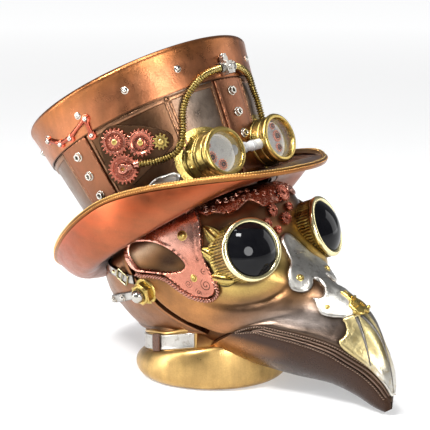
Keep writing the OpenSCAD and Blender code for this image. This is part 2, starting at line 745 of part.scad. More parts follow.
// ---- Hose -------------------------------------------------------------------------------------
// Angle, height and stand-off from the crown's wall along the hose, from the lower gear's hub,
// up and over the front strap, down to the left goggle
HOSE = [[-61.5, 21.6, 5.3], [-57, 20.4, 5], [-52, 19.3, 3.9], [-46, 18.9, 2.4], [-40, 19.4, 2],
    [-35.5, 22, 2], [-32.5, 26.5, 2], [-30.3, 31, 2], [-28.3, 35.2, 2.1], [-24.7, 39.7, 2.7],
    [-20, 43.3, 3.5], [-13.6, 46.4, 3.5], [-7, 48, 3.5], [3.4, 48.6, 3.5], [12, 48, 3.5],
    [18, 46, 3.5], [22.3, 42.8, 3.3], [25.8, 37.7, 2.4], [27.6, 33, 2.4], [27.2, 28.2, 2.6]];
function by_crown(q) = round_axis(q[0], [crown_at(q[1]) + q[2], q[1]]);
hose_path = route([for (q = HOSE) by_crown(q)], 3);
module hose() color("#9c843c")
    in_head()
        tube(hose_path, hose_r, 8);

module hose_clamp() color("#c9cac6")
    in_head()
        on_crown(3.4, 48.6, 3.5)
            difference() {
                translate([-2.2, -3.2, -1.9])
                    cube([4.4, 6.4, 5]);
                rotate([0, 90, 0])
                    cylinder(r = hose_r + 0.6, h = 12, center = true, $fn = 32);
            }

// The hose's end fitting: an eye round the lower gear's axle and an arm to the hose
module hose_banjo() color("#b8674c")
    on_train(place_c, plate_proud + 2 * gear_gap + gear_t + 0.5)
        difference() {
            hull() {
                cylinder(r = 2.2, h = 1, $fn = 32);
                translate([3.6, -0.8, 0])
                    cylinder(r = 1.1, h = 1, $fn = 32);
            }
            translate([0, 0, -1])
                cylinder(r = 1, h = 3, $fn = 32);
        }

// ---- Goggles on the hat -----------------------------------------------------------------------
goggle_y = -54.1;
goggle_z = 10.4;
goggle_splay = 6;
goggle_dip = 10;
goggle_back_r = 12.6;
goggle_len = 22;
bezel_t = 2.2;
module goggle_place(s)
    in_head()
        translate([s * goggle_x, goggle_y, goggle_z])
            rotate([0, 0, s * goggle_splay])
                rotate([90 + goggle_dip, 0, 0])
                    children();

module goggle_cone(d)
    translate([0, 0, -goggle_len])
        cylinder(r1 = goggle_back_r + d, r2 = goggle_r - 0.6 + d, h = goggle_len - bezel_t, $fn = 96);

module goggle_cups() color("#b59a45")
    difference() {
        for (s = sides)
            goggle_place(s)
                difference() {
                    goggle_cone(0);
                    translate([0, 0, -bezel_t - 5])
                        cylinder(r = goggle_r - 2, h = 10, $fn = 64);
                }
        in_head()
            crown_solid(hat_strap_t + 0.15);
    }

module goggle_bezels() color("#cdb45c")
    for (s = sides)
        goggle_place(s)
            rotate_extrude($fn = 96)
                polygon([[goggle_r - 2.2, -bezel_t + 0.02], [goggle_r, -bezel_t + 0.02], [goggle_r + 0.4, -1.2],
                    [goggle_r - 0.2, -0.1], [goggle_r - 1.2, 0.2], [goggle_r - 2.2, -0.4]]);

module goggle_lenses() color("#b9c0c2", 0.6)
    for (s = sides)
        goggle_place(s)
            translate([0, 0, -bezel_t + 0.5])
                cylinder(r = goggle_r - 2.25, h = 0.9, $fn = 64);

// Gears behind each lens: place, radius and tooth count
CUP_GEARS_RIGHT = [[-4.6, -0.8, 2.9, 14], [0.2, -5.1, 2.6, 12], [-5, 5, 1.8, 9]];
CUP_GEARS_LEFT = [[4.4, 1.5, 2.8, 14], [3, 6.4, 1.7, 9], [3.6, -3.9, 2.1, 10]];
module goggle_gears() color("#c0654e")
    for (s = sides)
        goggle_place(s)
            for (g = s < 0 ? CUP_GEARS_RIGHT : CUP_GEARS_LEFT)
                translate([g[0], g[1], -bezel_t - 3.4])
                    gear(g[3], 2 * g[2] / (g[3] + 1.6), 0.8, 0.5);

module goggle_bridge() color("#bcbdb8")
    difference() {
        in_head()
            translate([0, goggle_y + 4.1, goggle_z + 0.5])
                rotate([0, 90, 0])
                    cylinder(r = 2.5, h = 2 * (goggle_x - 9), center = true, $fn = 32);
        for (s = sides)
            goggle_place(s)
                goggle_cone(0.1);
    }

strap_open = 44;
module goggle_strap() color("#b3b4af")
    in_head()
        crown_sleeve(3.5, 10.5, hat_strap_t + 0.2, 0.9, strap_open, 360 - 2 * strap_open);

felt_pad();
base_disc();
neck_collar();
neck_strap();
strap_keeper();
neck_dowel();
head_form();
hood_shell();
mask_shell();
lower_beak();
mouth_piping();
beak_plate();
beak_tip_plate();
beak_clamp();
beak_fasteners();
eye_barrel(-1);  // eye_barrel_right
eye_barrel(1);  // eye_barrel_left
eye_ring(-1);  // eye_ring_right
eye_ring(1);  // eye_ring_left
eye_lens(-1);  // eye_lens_right
eye_lens(1);  // eye_lens_left
eye_claws();
cheek_plate(-1);  // cheek_plate_right
cheek_plate(1);  // cheek_plate_left
cheek_trim(-1);  // cheek_trim_right
cheek_trim(1);  // cheek_trim_left
cheek_rivets();
brow_trim();
brow_gears();
side_straps();
side_buckles();
nape_strap();
nape_studs();
ear_bosses();
ear_screws();
hat_crown();
hat_top();
hat_band();
band_rivets();
hat_straps();
strap_studs();
strap_nuts();
hat_brim();
brim_binding();
sweatband();
gear_plate();
gear_axles();
gear_a();
gear_b();
gear_c();
gear_pinion();
hose();
hose_clamp();
hose_banjo();
goggle_cups();
goggle_bezels();
goggle_lenses();
goggle_gears();
goggle_bridge();
goggle_strap();
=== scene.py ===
"""Looks of the plague doctor bust: painted leather mask, brass eyes, copper hat with gears and goggles.

Lengths are millimetres in the head's tilted frame unless a name says otherwise, and become metres in make().
Directions round the head are degrees from the front, positive towards the figure's left.
"""
import math

import bpy
import numpy as np
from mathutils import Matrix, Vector, geometry, kdtree


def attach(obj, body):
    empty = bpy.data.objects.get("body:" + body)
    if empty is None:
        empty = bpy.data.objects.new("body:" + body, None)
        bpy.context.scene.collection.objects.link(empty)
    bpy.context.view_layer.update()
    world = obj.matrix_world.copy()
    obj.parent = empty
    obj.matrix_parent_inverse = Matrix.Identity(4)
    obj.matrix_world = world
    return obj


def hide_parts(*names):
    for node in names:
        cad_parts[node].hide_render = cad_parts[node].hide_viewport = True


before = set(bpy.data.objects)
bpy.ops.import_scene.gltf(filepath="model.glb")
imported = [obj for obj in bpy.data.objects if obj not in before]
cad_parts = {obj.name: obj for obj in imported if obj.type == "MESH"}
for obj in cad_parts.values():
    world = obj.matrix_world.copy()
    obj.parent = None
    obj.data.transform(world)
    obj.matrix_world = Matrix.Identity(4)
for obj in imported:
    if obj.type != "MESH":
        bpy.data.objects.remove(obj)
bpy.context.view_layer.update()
MM = 0.001
SIDES = (-1, 1)
rng = np.random.default_rng(7)

# ---- Camera ------------------------------------------------------------------------------------
VIEW_AZIMUTH = 47.0
VIEW_HEIGHT = 12.2
VIEW_DISTANCE = 0.8
VIEW_TARGET = Vector((0.00085, -0.00091, 0.0755))
SENSOR_WIDTH, LENS = 36, 142.7


def add_camera():
    a, e = math.radians(VIEW_AZIMUTH), math.radians(VIEW_HEIGHT)
    towards = Vector((-math.sin(a) * math.cos(e), -math.cos(a) * math.cos(e), math.sin(e)))
    camera = bpy.data.objects.new("camera", bpy.data.cameras.new("camera"))
    bpy.context.scene.collection.objects.link(camera)
    camera.location = VIEW_TARGET + towards * VIEW_DISTANCE
    camera.rotation_euler = towards.to_track_quat("Z", "Y").to_euler()
    camera.data.sensor_width = SENSOR_WIDTH
    camera.data.lens = LENS
    bpy.context.scene.camera = camera


add_camera()

# ---- Frames and the head's shape -----------------------------------------------------------------
HEAD_TILT = 31.0
HEAD_ROLL = 2.5
HEAD_PLACE = np.array([0, 13.7, 76.0])


def turn(axis, degrees):
    c, s = math.cos(math.radians(degrees)), math.sin(math.radians(degrees))
    i, j = {"x": (1, 2), "y": (2, 0), "z": (0, 1)}[axis]
    m = np.eye(3)
    m[i, i] = m[j, j] = c
    m[i, j] = -s
    m[j, i] = s
    return m


def placed(rotation, origin):
    m = np.eye(4)
    m[:3, :3] = rotation
    m[:3, 3] = origin
    return m


def moved(x=0.0, y=0.0, z=0.0, spin=0.0):
    """A move, after a turn about Z."""
    return placed(turn("z", spin), (x, y, z))


IN_HEAD = placed(turn("y", -HEAD_ROLL) @ turn("x", -HEAD_TILT), HEAD_PLACE)
IN_ROW = np.eye(4)


def unit(v):
    return v / np.maximum(np.linalg.norm(v, axis=-1, keepdims=True), 1e-9)


# Level sections: height, half width, y of the widest place, of the front and of the back, and how
# full the front and the back are (1 is an ellipse)
HEAD = np.array([
    [18, 2, 3, 0, 8, 1, 1], [15, 20, 3, -18, 24, 1, 1], [8, 32, 2, -32, 34, 1, 1],
    [0, 38, 1, -38.5, 39, 1, 1], [-4, 39, 2, -39.5, 40.5, 1, 1], [-9, 41, 4, -47, 54, 0.9, 1],
    [-16, 41, 5, -49, 58, 0.85, 1], [-28, 39, 4, -47.5, 55, 0.8, 1], [-40, 36.5, 0, -49.5, 49, 0.85, 1],
    [-52, 33, -8, -55, 42, 1, 1], [-62, 29, -16, -60, 27, 1.12, 1], [-72, 24, -27, -67.5, 8, 1.2, 1],
    [-82, 18.5, -38, -72.5, -7, 1.2, 1], [-92, 14, -49, -74, -22, 1.15, 1],
    [-102, 9.5, -57, -73, -39, 1.1, 1], [-112, 6.5, -60, -70, -50, 1, 1],
    [-120, 3.8, -61.5, -66, -56.5, 1, 1], [-124, 1.2, -62, -63.5, -60.5, 1, 1]])
# Height and half angle of the mouth seam
MOUTH = np.array([[-62, 88], [-66, 74], [-72, 69.5], [-80, 66], [-90, 63], [-100, 61], [-106, 54],
                  [-112, 43], [-118, 25], [-121, 6]], float)


def smooth(table, column, z):
    """Smooth curve through one column of a table whose first column falls."""
    z = np.asarray(z, float)
    heights, values = table[:, 0], table[:, column]
    steps = np.diff(heights)
    chords = np.diff(values) / steps
    slopes = np.concatenate([chords[:1], (chords[1:] * steps[:-1] + chords[:-1] * steps[1:])
                             / (steps[:-1] + steps[1:]), chords[-1:]])
    i = np.clip((heights[1:] >= z[..., None]).sum(-1), 0, len(table) - 2)
    h = steps[i]
    s = (z - heights[i]) / h
    return (values[i] * (2 * s**3 - 3 * s**2 + 1) + slopes[i] * h * (s**3 - 2 * s**2 + s)
            + values[i + 1] * (3 * s**2 - 2 * s**3) + slopes[i + 1] * h * (s**3 - s**2))


def head_base(th, z, sunk=0.0):
    th, z = np.broadcast_arrays(np.radians(np.asarray(th, float)), np.asarray(z, float))
    c, s = np.cos(th), np.sin(th)
    width = smooth(HEAD, 1, z)
    d = sunk * np.minimum(1, width / 8)
    middle = smooth(HEAD, 2, z)
    end = np.where(c > 0, smooth(HEAD, 3, z) + d, smooth(HEAD, 4, z) - d)
    power = np.where(c > 0, smooth(HEAD, 5, z), smooth(HEAD, 6, z))
    return np.stack([(width - d) * np.sign(s) * np.abs(s)**power,
                     middle + (end - middle) * np.abs(c)**power, z], -1)


def head_normal(th, z):
    th, z = np.asarray(th, float), np.asarray(z, float)
    along = head_base(th + 2, z) - head_base(th - 2, z)
    up = head_base(th, z + 0.5) - head_base(th, z - 0.5)
    return unit(np.cross(along, up))


EYE_X, EYE_Y, EYE_Z, EYE_R = 26.0, -51.5, -35.0, 14.2
EYE_SPLAY, EYE_DIP, EYE_LEN, RIM_T, DOME = 18.5, 8.0, 14.0, 2.4, 4.5


def eye_frame(side):
    return placed(turn("z", side * EYE_SPLAY) @ turn("x", 90 + EYE_DIP), (side * EYE_X, EYE_Y, EYE_Z))


def from_eye(p, side):
    """Distance of points from the axis of one eye."""
    m = eye_frame(side)
    q = p - m[:3, 3]
    return np.linalg.norm(q - (q @ m[:3, 2])[..., None] * m[:3, 2], axis=-1)


def hill(x, centre, half):
    return np.exp(-((x - centre) / half)**2)


def spot(th, z, th_0, z_0, r_th, r_z):
    """Soft spot on the head, with its radii in millimetres."""
    across = np.radians(th - th_0) * smooth(HEAD, 1, z)
    return np.exp(-(across / r_th)**2 - ((z - z_0) / r_z)**2)


def ramp(x, a, b):
    t = np.clip((x - a) / (b - a), 0, 1)
    return t * t * (3 - 2 * t)


def above_mouth(th, z):
    """Distance above the mouth seam along the surface, negative on the jaw."""
    return np.radians(smooth(MOUTH, 1, np.clip(z, -121, -62)) - np.abs(th)) * smooth(HEAD, 1, z)


def relief(th, z):
    """How far the mask's leather stands out from the plain head."""
    p = head_base(th, z)
    rho = np.minimum(from_eye(p, -1), from_eye(p, 1))
    a = np.abs(th)
    low = ramp(z, -30, -46)
    lips = ramp(z, -60, -66) * ramp(z, -121, -108)
    t = above_mouth(th, z)
    out = 2.6 * hill(rho, 13, 5.5) * (0.35 + 0.65 * low)
    out = out - 1.5 * hill(rho, 22.5, 2.6) * low * ramp(a, 22, 40) * ramp(a, 86, 60)
    out = out + 1.1 * spot(a, z, 74, -53, 11, 7) + 1.0 * spot(a, z, 84, -59, 5, 4)
    out = out + lips * (0.5 * hill(t, 3.4, 1.6) - 0.7 * hill(t, 9.5, 4.5)) * ramp(a, 10, 30)
    out = out - 0.9 * spot(a, z, 42, -66, 9, 7) - 0.8 * spot(a, z, 80, -23, 8, 5)
    out = out + 0.35 * spot(a, z, 12, -24, 7, 6)
    return out


def skin(th, z, d=0.0):
    th, z = np.asarray(th, float), np.asarray(z, float)
    keep = ramp(z, -4, -9) * ramp(np.abs((th + 180) % 360 - 180), 100, 90)
    return head_base(th, z) + (relief(th, z) * keep + d)[..., None] * head_normal(th, z)


def bare(th, z, d=0.0):
    """The plain head without the mask's relief, d millimetres outwards."""
    return head_base(th, z) + np.asarray(d)[..., None] * head_normal(th, z)


def core(th, z):
    """The form inside the shells, sunk further at the hat's rim."""
    return head_base(th, z, 3.0 + 4 * np.maximum(0, 1 - np.abs(z + 7) / 9))


CROWN_R, CROWN_TOP_R, CROWN_H, BAND_W = 43.6, 54.3, 64.7, 20.0
SLOPE = (CROWN_TOP_R - CROWN_R) / CROWN_H
FLARE = math.degrees(math.atan(SLOPE))


def crown_r(z):
    return CROWN_R + SLOPE * np.asarray(z, float)


def round_axis(az, r, z):
    az, r, z = np.broadcast_arrays(np.radians(np.asarray(az, float)), r, z)
    return np.stack([r * np.sin(az), -r * np.cos(az), z], -1)


def crown(az, z, d=0.0):
    return round_axis(az, crown_r(z) + d, z)


BRIM_FRONT, BRIM_BACK, BRIM_SIDE, BRIM_ROLL, BRIM_T = 73.0, 80.0, 57.0, 16.5, 2.0
BRIM_END, BINDING_R, BRIM_SAG = 0.93, 1.6, 3.0


def brim_line(az, t):
    """Radius and height of the brim's middle layer at direction az and share t of its width."""
    az, t = np.broadcast_arrays(np.radians(np.asarray(az, float)), np.asarray(t, float))
    c, side = np.cos(az), np.abs(np.sin(az))**1.8
    sag = BRIM_SAG * np.maximum(0, np.sin(2 * az)) * (c > 0)
    reach = np.where(c > 0, BRIM_FRONT, BRIM_BACK)
    edge = np.stack([1 / np.sqrt((np.sin(az) / BRIM_SIDE)**2 + (c / reach)**2),
                     BRIM_ROLL * side + (1 - side) * np.where(c > 0, -10, 6) - sag], -1)
    bend = np.stack([62 + 3 * (1 - side), -22 * side + (1 - side) * np.where(c > 0, -8, -16) + 3.5 * sag], -1)
    root = np.array([CROWN_R + 0.7, -1.1])
    t = t[..., None]
    return (1 - t)**2 * root + 2 * t * (1 - t) * bend + t * t * edge


def brim(az, t, d=0.0):
    step = unit(brim_line(az, t + 0.02) - brim_line(az, t - 0.02))
    p = brim_line(az, t) + np.asarray(d)[..., None] * np.stack([-step[..., 1], step[..., 0]], -1)
    return round_axis(az, p[..., 0], p[..., 1])


def binding_middle(az):
    out = unit(brim_line(az, BRIM_END) - brim_line(az, BRIM_END - 0.1))
    return brim_line(az, BRIM_END) + (BINDING_R + 0.05) * out


# ---- Mesh building ---------------------------------------------------------------------------------
class Soup:
    """Points, faces and paint of one piece."""

    def __init__(self):
        self.points, self.faces, self.paint, self.count = [], [], [], 0

    def add(self, points, faces, place=None, paint=(1, 1, 1)):
        points = np.asarray(points, float).reshape(-1, 3)
        if place is not None:
            points = points @ place[:3, :3].T + place[:3, 3]
        self.points.append(points)
        self.faces += [[i + self.count for i in f] for f in faces]
        self.paint.append(np.broadcast_to(np.asarray(paint, float), (len(points), 3)))
        self.count += len(points)
        return self

    def merge(self, other, paint=None):
        """Takes in another soup, with its own paint unless one is given."""
        paint = np.concatenate(other.paint) if paint is None else paint
        return self.add(np.concatenate(other.points), other.faces, paint=paint)


def make(name, soup, body, material, replaces=(), space=IN_HEAD, crease=40, bevel=0.0):
    mesh = bpy.data.meshes.new(name)
    points = np.concatenate(soup.points) @ space[:3, :3].T + space[:3, 3]
    mesh.from_pydata((points * MM).tolist(), [], soup.faces)
    mesh.validate()
    paint = mesh.attributes.new("paint", "FLOAT_COLOR", "POINT")
    colours = np.ones((len(points), 4), np.float32)
    colours[:, :3] = np.concatenate(soup.paint)
    paint.data.foreach_set("color", colours.ravel())
    mesh.polygons.foreach_set("use_smooth", [True] * len(mesh.polygons))
    mesh.set_sharp_from_angle(angle=math.radians(crease))
    mesh.materials.append(material)
    piece = bpy.data.objects.new(name, mesh)
    bpy.context.scene.collection.objects.link(piece)
    if bevel:
        edge = piece.modifiers.new("bevel", "BEVEL")
        edge.width = bevel * MM
        edge.segments = 2
        edge.limit_method = "ANGLE"
        edge.angle_limit = math.radians(35)
    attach(piece, body)
    if replaces:
        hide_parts(*replaces)
    return piece


def grid_faces(rows, columns, wrap=False, closed=False, first=0, flip=False):
    """Quads between rows of points; wrap closes each row, closed joins the last row to the first."""
    faces = []
    for i in range(rows if closed else rows - 1):
        for j in range(columns if wrap else columns - 1):
            below, k = (i + 1) % rows, (j + 1) % columns
            f = [first + r * columns + c for r, c in ((i, j), (i, k), (below, k), (below, j))]
            faces.append(f[::-1] if flip else f)
    return faces


def end_faces(rows, columns, flip=False):
    """The two ends of a tube made of rows of points."""
    ends = [list(range(columns))[::-1], [(rows - 1) * columns + j for j in range(columns)]]
    return [f[::-1] for f in ends] if flip else ends


def border(rows, columns):
    """The points round the edge of a grid."""
    return ([*range(columns)] + [i * columns + columns - 1 for i in range(1, rows)]
            + [(rows - 1) * columns + j for j in range(columns - 2, -1, -1)]
            + [i * columns for i in range(rows - 2, 0, -1)])


def walls(ring, n):
    """Quads from a ring of points to the ring that comes n points later."""
    return [[a, b, b + n, a + n] for a, b in zip(ring, ring[1:] + ring[:1])]


def sheet(surface, lay, n_u, n_v, out, inner, paint, drop=None):
    """A closed sheet on a surface, between the offsets out and inner: lay(u, v) gives angle and height,
    and points where drop is true are left open."""
    u, v = np.meshgrid(np.linspace(0, 1, n_u), np.linspace(0, 1, n_v))
    a, b = lay(u, v)
    top = surface(a, b, out(a, b) if callable(out) else out)
    low = surface(a, b, inner)
    colour = paint(a, b, top).reshape(-1, 3)
    n = n_u * n_v
    faces = grid_faces(n_v, n_u, flip=True) + grid_faces(n_v, n_u, first=n) + walls(border(n_v, n_u), n)
    if drop is not None:
        gone = set(np.flatnonzero(np.concatenate([drop(top.reshape(-1, 3)), drop(low.reshape(-1, 3))])))
        faces = [q for q in faces if not gone.intersection(q)]
    return Soup().add(np.stack([top, low]), faces, paint=np.concatenate([colour, colour]))


def lathe(profile, n=64, closed=False, start=0.0, sweep=360.0):
    """A turned shape about Z through (radius, height) pairs; closed joins the last pair to the first."""
    full = sweep >= 360
    angles = np.radians(start + np.linspace(0, sweep, n, endpoint=not full))
    points, rows = [], []
    for r, z in profile:
        if r < 1e-6:
            rows.append([len(points)] * n)
            points.append((0, 0, z))
        else:
            rows.append(list(range(len(points), len(points) + n)))
            points += [(r * math.cos(t), r * math.sin(t), z) for t in angles]
    faces = []
    pairs = list(zip(rows, rows[1:])) + ([(rows[-1], rows[0])] if closed else [])
    for low, high in pairs:
        for j in range(n if full else n - 1):
            k = (j + 1) % n
            f = list(dict.fromkeys([low[j], low[k], high[k], high[j]]))
            if len(f) > 2:
                faces.append(f)
    if not full and closed:
        faces += [[r[0] for r in rows], [r[-1] for r in rows[::-1]]]
    return points, faces


def arc(centre, radius, a, b, n):
    return [(centre[0] + radius * math.cos(math.radians(t)), centre[1] + radius * math.sin(math.radians(t)))
            for t in np.linspace(a, b, n)]


def lengths(path):
    """Distance along a path at each of its points."""
    return np.concatenate([[0], np.cumsum(np.linalg.norm(np.diff(path, axis=0), axis=1))])


def curve(points, step=0.5, closed=False):
    """Smooth route through the points, with even steps."""
    p = np.asarray(points, float)
    n = len(p)
    out = []
    for i in range(n if closed else n - 1):
        a, b, c, d = (p[(i + k) % n] if closed else p[min(max(i + k, 0), n - 1)] for k in (-1, 0, 1, 2))
        t = np.linspace(0, 1, 24, endpoint=False)[:, None]
        out.append(0.5 * (2 * b + (c - a) * t + (2 * a - 5 * b + 4 * c - d) * t**2
                          + (3 * b - a - 3 * c + d) * t**3))
    out = np.concatenate(out + [p[:1] if closed else p[-1:]])
    s = lengths(out)
    even = np.linspace(0, s[-1], max(4, int(round(s[-1] / step)) + 1))
    out = np.stack([np.interp(even, s, out[:, k]) for k in range(out.shape[1])], -1)
    return out[:-1] if closed else out


def tube(path, radius, n=10, hint=(0, 0, 1), closed=False, flat=1.0):
    """A round tube along a path; radius may vary; flat squeezes it along the hint."""
    path = np.asarray(path, float)
    m = len(path)
    r = np.broadcast_to(np.asarray(radius, float), (m,))
    nxt = np.roll(path, -1, 0) if closed else np.concatenate([path[1:], path[-1:]])
    prv = np.roll(path, 1, 0) if closed else np.concatenate([path[:1], path[:-1]])
    d = unit(nxt - prv)
    side = unit(np.cross(d, np.broadcast_to(np.asarray(hint, float), d.shape)))
    up = np.cross(side, d)
    t = np.linspace(0, 2 * np.pi, n, endpoint=False)
    points = path[:, None] + r[:, None, None] * (np.cos(t)[None, :, None] * side[:, None]
                                                 + flat * np.sin(t)[None, :, None] * up[:, None])
    faces = grid_faces(m, n, wrap=True, closed=closed) + ([] if closed else end_faces(m, n))
    return points.reshape(-1, 3), faces


def strand(path, hint, r, phase, pitch, size):
    """One strand of a rope laid round a path."""
    d = unit(np.gradient(path, axis=0))
    side = unit(np.cross(d, hint))
    up = np.cross(side, d)
    t = (2 * np.pi * lengths(path) / pitch + phase)[:, None]
    return tube(path + r * (np.cos(t) * side + np.sin(t) * up), size, 6, hint)


def beads(path, hint, spacing, length, width, height, slant=0.0):
    """Stitches along a path: small long pillows, each turned by slant degrees on the surface."""
    step = curve(path, spacing)
    d = unit(np.gradient(step, axis=0))
    near = [int(np.argmin(np.linalg.norm(path - p, axis=1))) for p in step]
    up = unit(np.asarray(hint)[near])
    side = unit(np.cross(up, d))
    c, s = math.cos(math.radians(slant)), math.sin(math.radians(slant))
    ball, faces = lathe([(0, -1)] + [(math.cos(t), math.sin(t)) for t in (-0.7, 0.0, 0.7)] + [(0, 1)], 6)
    ball = np.array(ball)
    soup = Soup()
    for p, x, y, z in zip(step, d, side, up):
        m = np.stack([(c * x + s * y) * length / 2, (c * y - s * x) * width / 2, z * height], -1)
        soup.add(ball[:, [2, 0, 1]], faces, placed(m, p))
    return soup


def inside(points, loops):
    """Even-odd test of points against closed loops."""
    x, y = points[:, 0], points[:, 1]
    odd = np.zeros(len(points), bool)
    for loop in loops:
        nxt = np.roll(loop, -1, 0)
        for (x0, y0), (x1, y1) in zip(loop, nxt):
            if y0 != y1:
                odd ^= ((y0 > y) != (y1 > y)) & (x < (x1 - x0) * (y - y0) / (y1 - y0) + x0)
    return odd


def fill(loops, extra=()):
    """Triangles of the area between closed loops, with extra points inside."""
    verts = [Vector(p) for loop in loops for p in loop] + [Vector(p) for p in extra]
    edges, base = [], 0
    for loop in loops:
        edges += [(base + i, base + (i + 1) % len(loop)) for i in range(len(loop))]
        base += len(loop)
    points, _, faces, *_ = geometry.delaunay_2d_cdt(verts, edges, [], 0, 1e-6)
    points = np.array([tuple(p) for p in points])
    middles = np.array([points[list(f)].mean(0) for f in faces])
    kept = [list(f) for f, k in zip(faces, inside(middles, loops)) if k]
    return points, kept


def extrude(loops, z_0, z_1):
    """A flat solid between two heights, with the first loop outside and the others as holes."""
    loops = [np.asarray(loop, float) for loop in loops]
    points, faces = fill(loops)
    n = len(points)
    low = np.column_stack([points, np.full(n, z_0)])
    high = np.column_stack([points, np.full(n, z_1)])
    faces = [f[::-1] for f in faces] + [[i + n for i in f] for f in faces]
    base = 0
    for loop in loops:
        area = np.sum(loop[:, 0] * np.roll(loop[:, 1], -1) - np.roll(loop[:, 0], -1) * loop[:, 1])
        ring = list(range(base, base + len(loop)))
        faces += walls(ring if (area > 0) == (base == 0) else ring[::-1], n)
        base += len(loop)
    return np.concatenate([low, high]), faces


def nearest(points):
    """A function that gives how far other points are from the nearest of these."""
    tree = kdtree.KDTree(len(points))
    for i, p in enumerate(points):
        tree.insert((*p, 0)[:3], i)
    tree.balance()
    return lambda others: np.array([tree.find((*q, 0)[:3])[2] for q in others])


def plate(surface, loops, thick, edge=0.6, spacing=0.8, sunk=0.5, shape=None, radius=36.0, lift=0.0):
    """A plate with rounded edges laid on a surface. loops are closed outlines in angle and height;
    shape(distance from the edge, angle, height) adds to its face."""
    flat = [np.column_stack([np.radians(loop[:, 0]) * radius, loop[:, 1]]) for loop in loops]
    rings = []
    for loop in flat:
        d = np.roll(loop, -1, 0) - np.roll(loop, 1, 0)
        out = unit(np.column_stack([-d[:, 1], d[:, 0]]))
        rings += [loop + s * step * out for s in SIDES for step in (edge * 0.3, edge * 0.8)]
    low, high = flat[0].min(0), flat[0].max(0)
    gx, gy = np.meshgrid(np.arange(low[0], high[0], spacing), np.arange(low[1], high[1], spacing * 0.87))
    gx = gx + (np.arange(len(gx)) % 2)[:, None] * spacing / 2
    grid = np.column_stack([gx.ravel(), gy.ravel()])
    gap = nearest(np.concatenate(flat))
    grid = grid[inside(grid, flat)]
    grid = grid[gap(grid) > edge]
    ring = np.concatenate(rings)
    ring = ring[inside(ring, flat)]
    ring = ring[gap(ring) > edge * 0.25]
    points, faces = fill(flat, np.concatenate([grid, ring]))
    a, b = np.degrees(points[:, 0] / radius), points[:, 1]
    far = gap(points)
    inner = np.minimum(far / edge, 1)
    height = thick * (0.35 + 0.65 * np.sqrt(np.maximum(0, 1 - (1 - inner)**2)))
    if shape is not None:
        height = height + shape(far, a, b) * inner
    top, under = surface(a, b, height + lift), surface(a, b, np.full(len(a), -sunk))
    n = len(points)
    if np.dot(np.cross(top[faces[0][1]] - top[faces[0][0]], top[faces[0][2]] - top[faces[0][0]]),
              top[faces[0][0]] - under[faces[0][0]]) < 0:
        faces = [f[::-1] for f in faces]
    out = list(faces) + [[i + n for i in f[::-1]] for f in faces]
    used = {}
    for f in faces:
        for e in zip(f, f[1:] + f[:1]):
            used[e] = used.get(e, 0) + 1
    out += [[e[1], e[0], e[0] + n, e[1] + n] for e in used if (e[1], e[0]) not in used]
    return np.concatenate([top, under]), out


def circle(r, n=24, x=0.0, y=0.0):
    t = np.linspace(0, 2 * np.pi, n, endpoint=False)
    return np.column_stack([x + r * np.cos(t), y + r * np.sin(t)])


def box_outline(a_0, a_1, b_0, b_1, n):
    """A rectangle in angle and height, with n points round it."""
    corners = np.array([(a_0, b_0), (a_1, b_0), (a_1, b_1), (a_0, b_1), (a_0, b_0)], float)
    way = np.linspace(0, 4, n + 1)[:-1]
    return np.column_stack([np.interp(way, range(5), corners[:, k]) for k in (0, 1)])


def mirrored(points):
    return [(-a, b) for a, b in points]


def outline(points, step=0.5, radius=36.0):
    """A closed smooth outline in angle and height, from a few points."""
    p = np.asarray(points, float)
    flat = np.column_stack([np.radians(p[:, 0]) * radius, p[:, 1]])
    c = curve(flat, step, closed=True)
    return np.column_stack([np.degrees(c[:, 0] / radius), c[:, 1]])


def stand_on(surface, a, b, d=0.0, spin=0.0):
    """Frame on a surface: X along growing angle, Y up, Z outward."""
    p = surface(np.array(a, float), np.array(b, float), np.array(d, float))
    x = surface(np.array(a + 1.0), np.array(b, float), np.array(d, float)) - p
    y = surface(np.array(a, float), np.array(b + 0.5), np.array(d, float)) - p
    z = unit(np.cross(x, y))
    x = unit(x)
    return placed(np.column_stack([x, np.cross(z, x), z]) @ turn("z", spin), p)


def rivet(r, h, ring=0.0):
    """A domed head, with a washer of radius ring under it."""
    ball = (r * r + h * h) / (2 * h)
    lift = 0.3 if ring else 0
    base = [(ring, -0.6), (ring, 0.15), (ring - 0.25, lift), (r + 0.02, 0.32)] if ring else [(r, -0.6)]
    dome = [(max(ball * math.cos(t), 1e-3), h - ball + ball * math.sin(t) + lift)
            for t in np.linspace(math.asin((ball - h) / ball), math.pi / 2, 8)[:-1]]
    return lathe([(0, -0.6)] + base + dome + [(0, h + lift)], 28)


def prism(sides, r, h, bore=0.0):
    return extrude([circle(r, sides)] + ([circle(bore, 20)] if bore else []), 0, h)


# ---- Materials ---------------------------------------------------------------------------------------
def srgb(r, g, b):
    return np.array([(c / 255 / 12.92) if c < 10.3 else ((c / 255 + 0.055) / 1.055)**2.4 for c in (r, g, b)])


def layers(colour, *coats):
    """Paint built up on a colour, from (colour, share) coats."""
    for coat, share in coats:
        share = np.asarray(share, float)[..., None]
        colour = colour * (1 - share) + np.asarray(coat) * share
    return colour


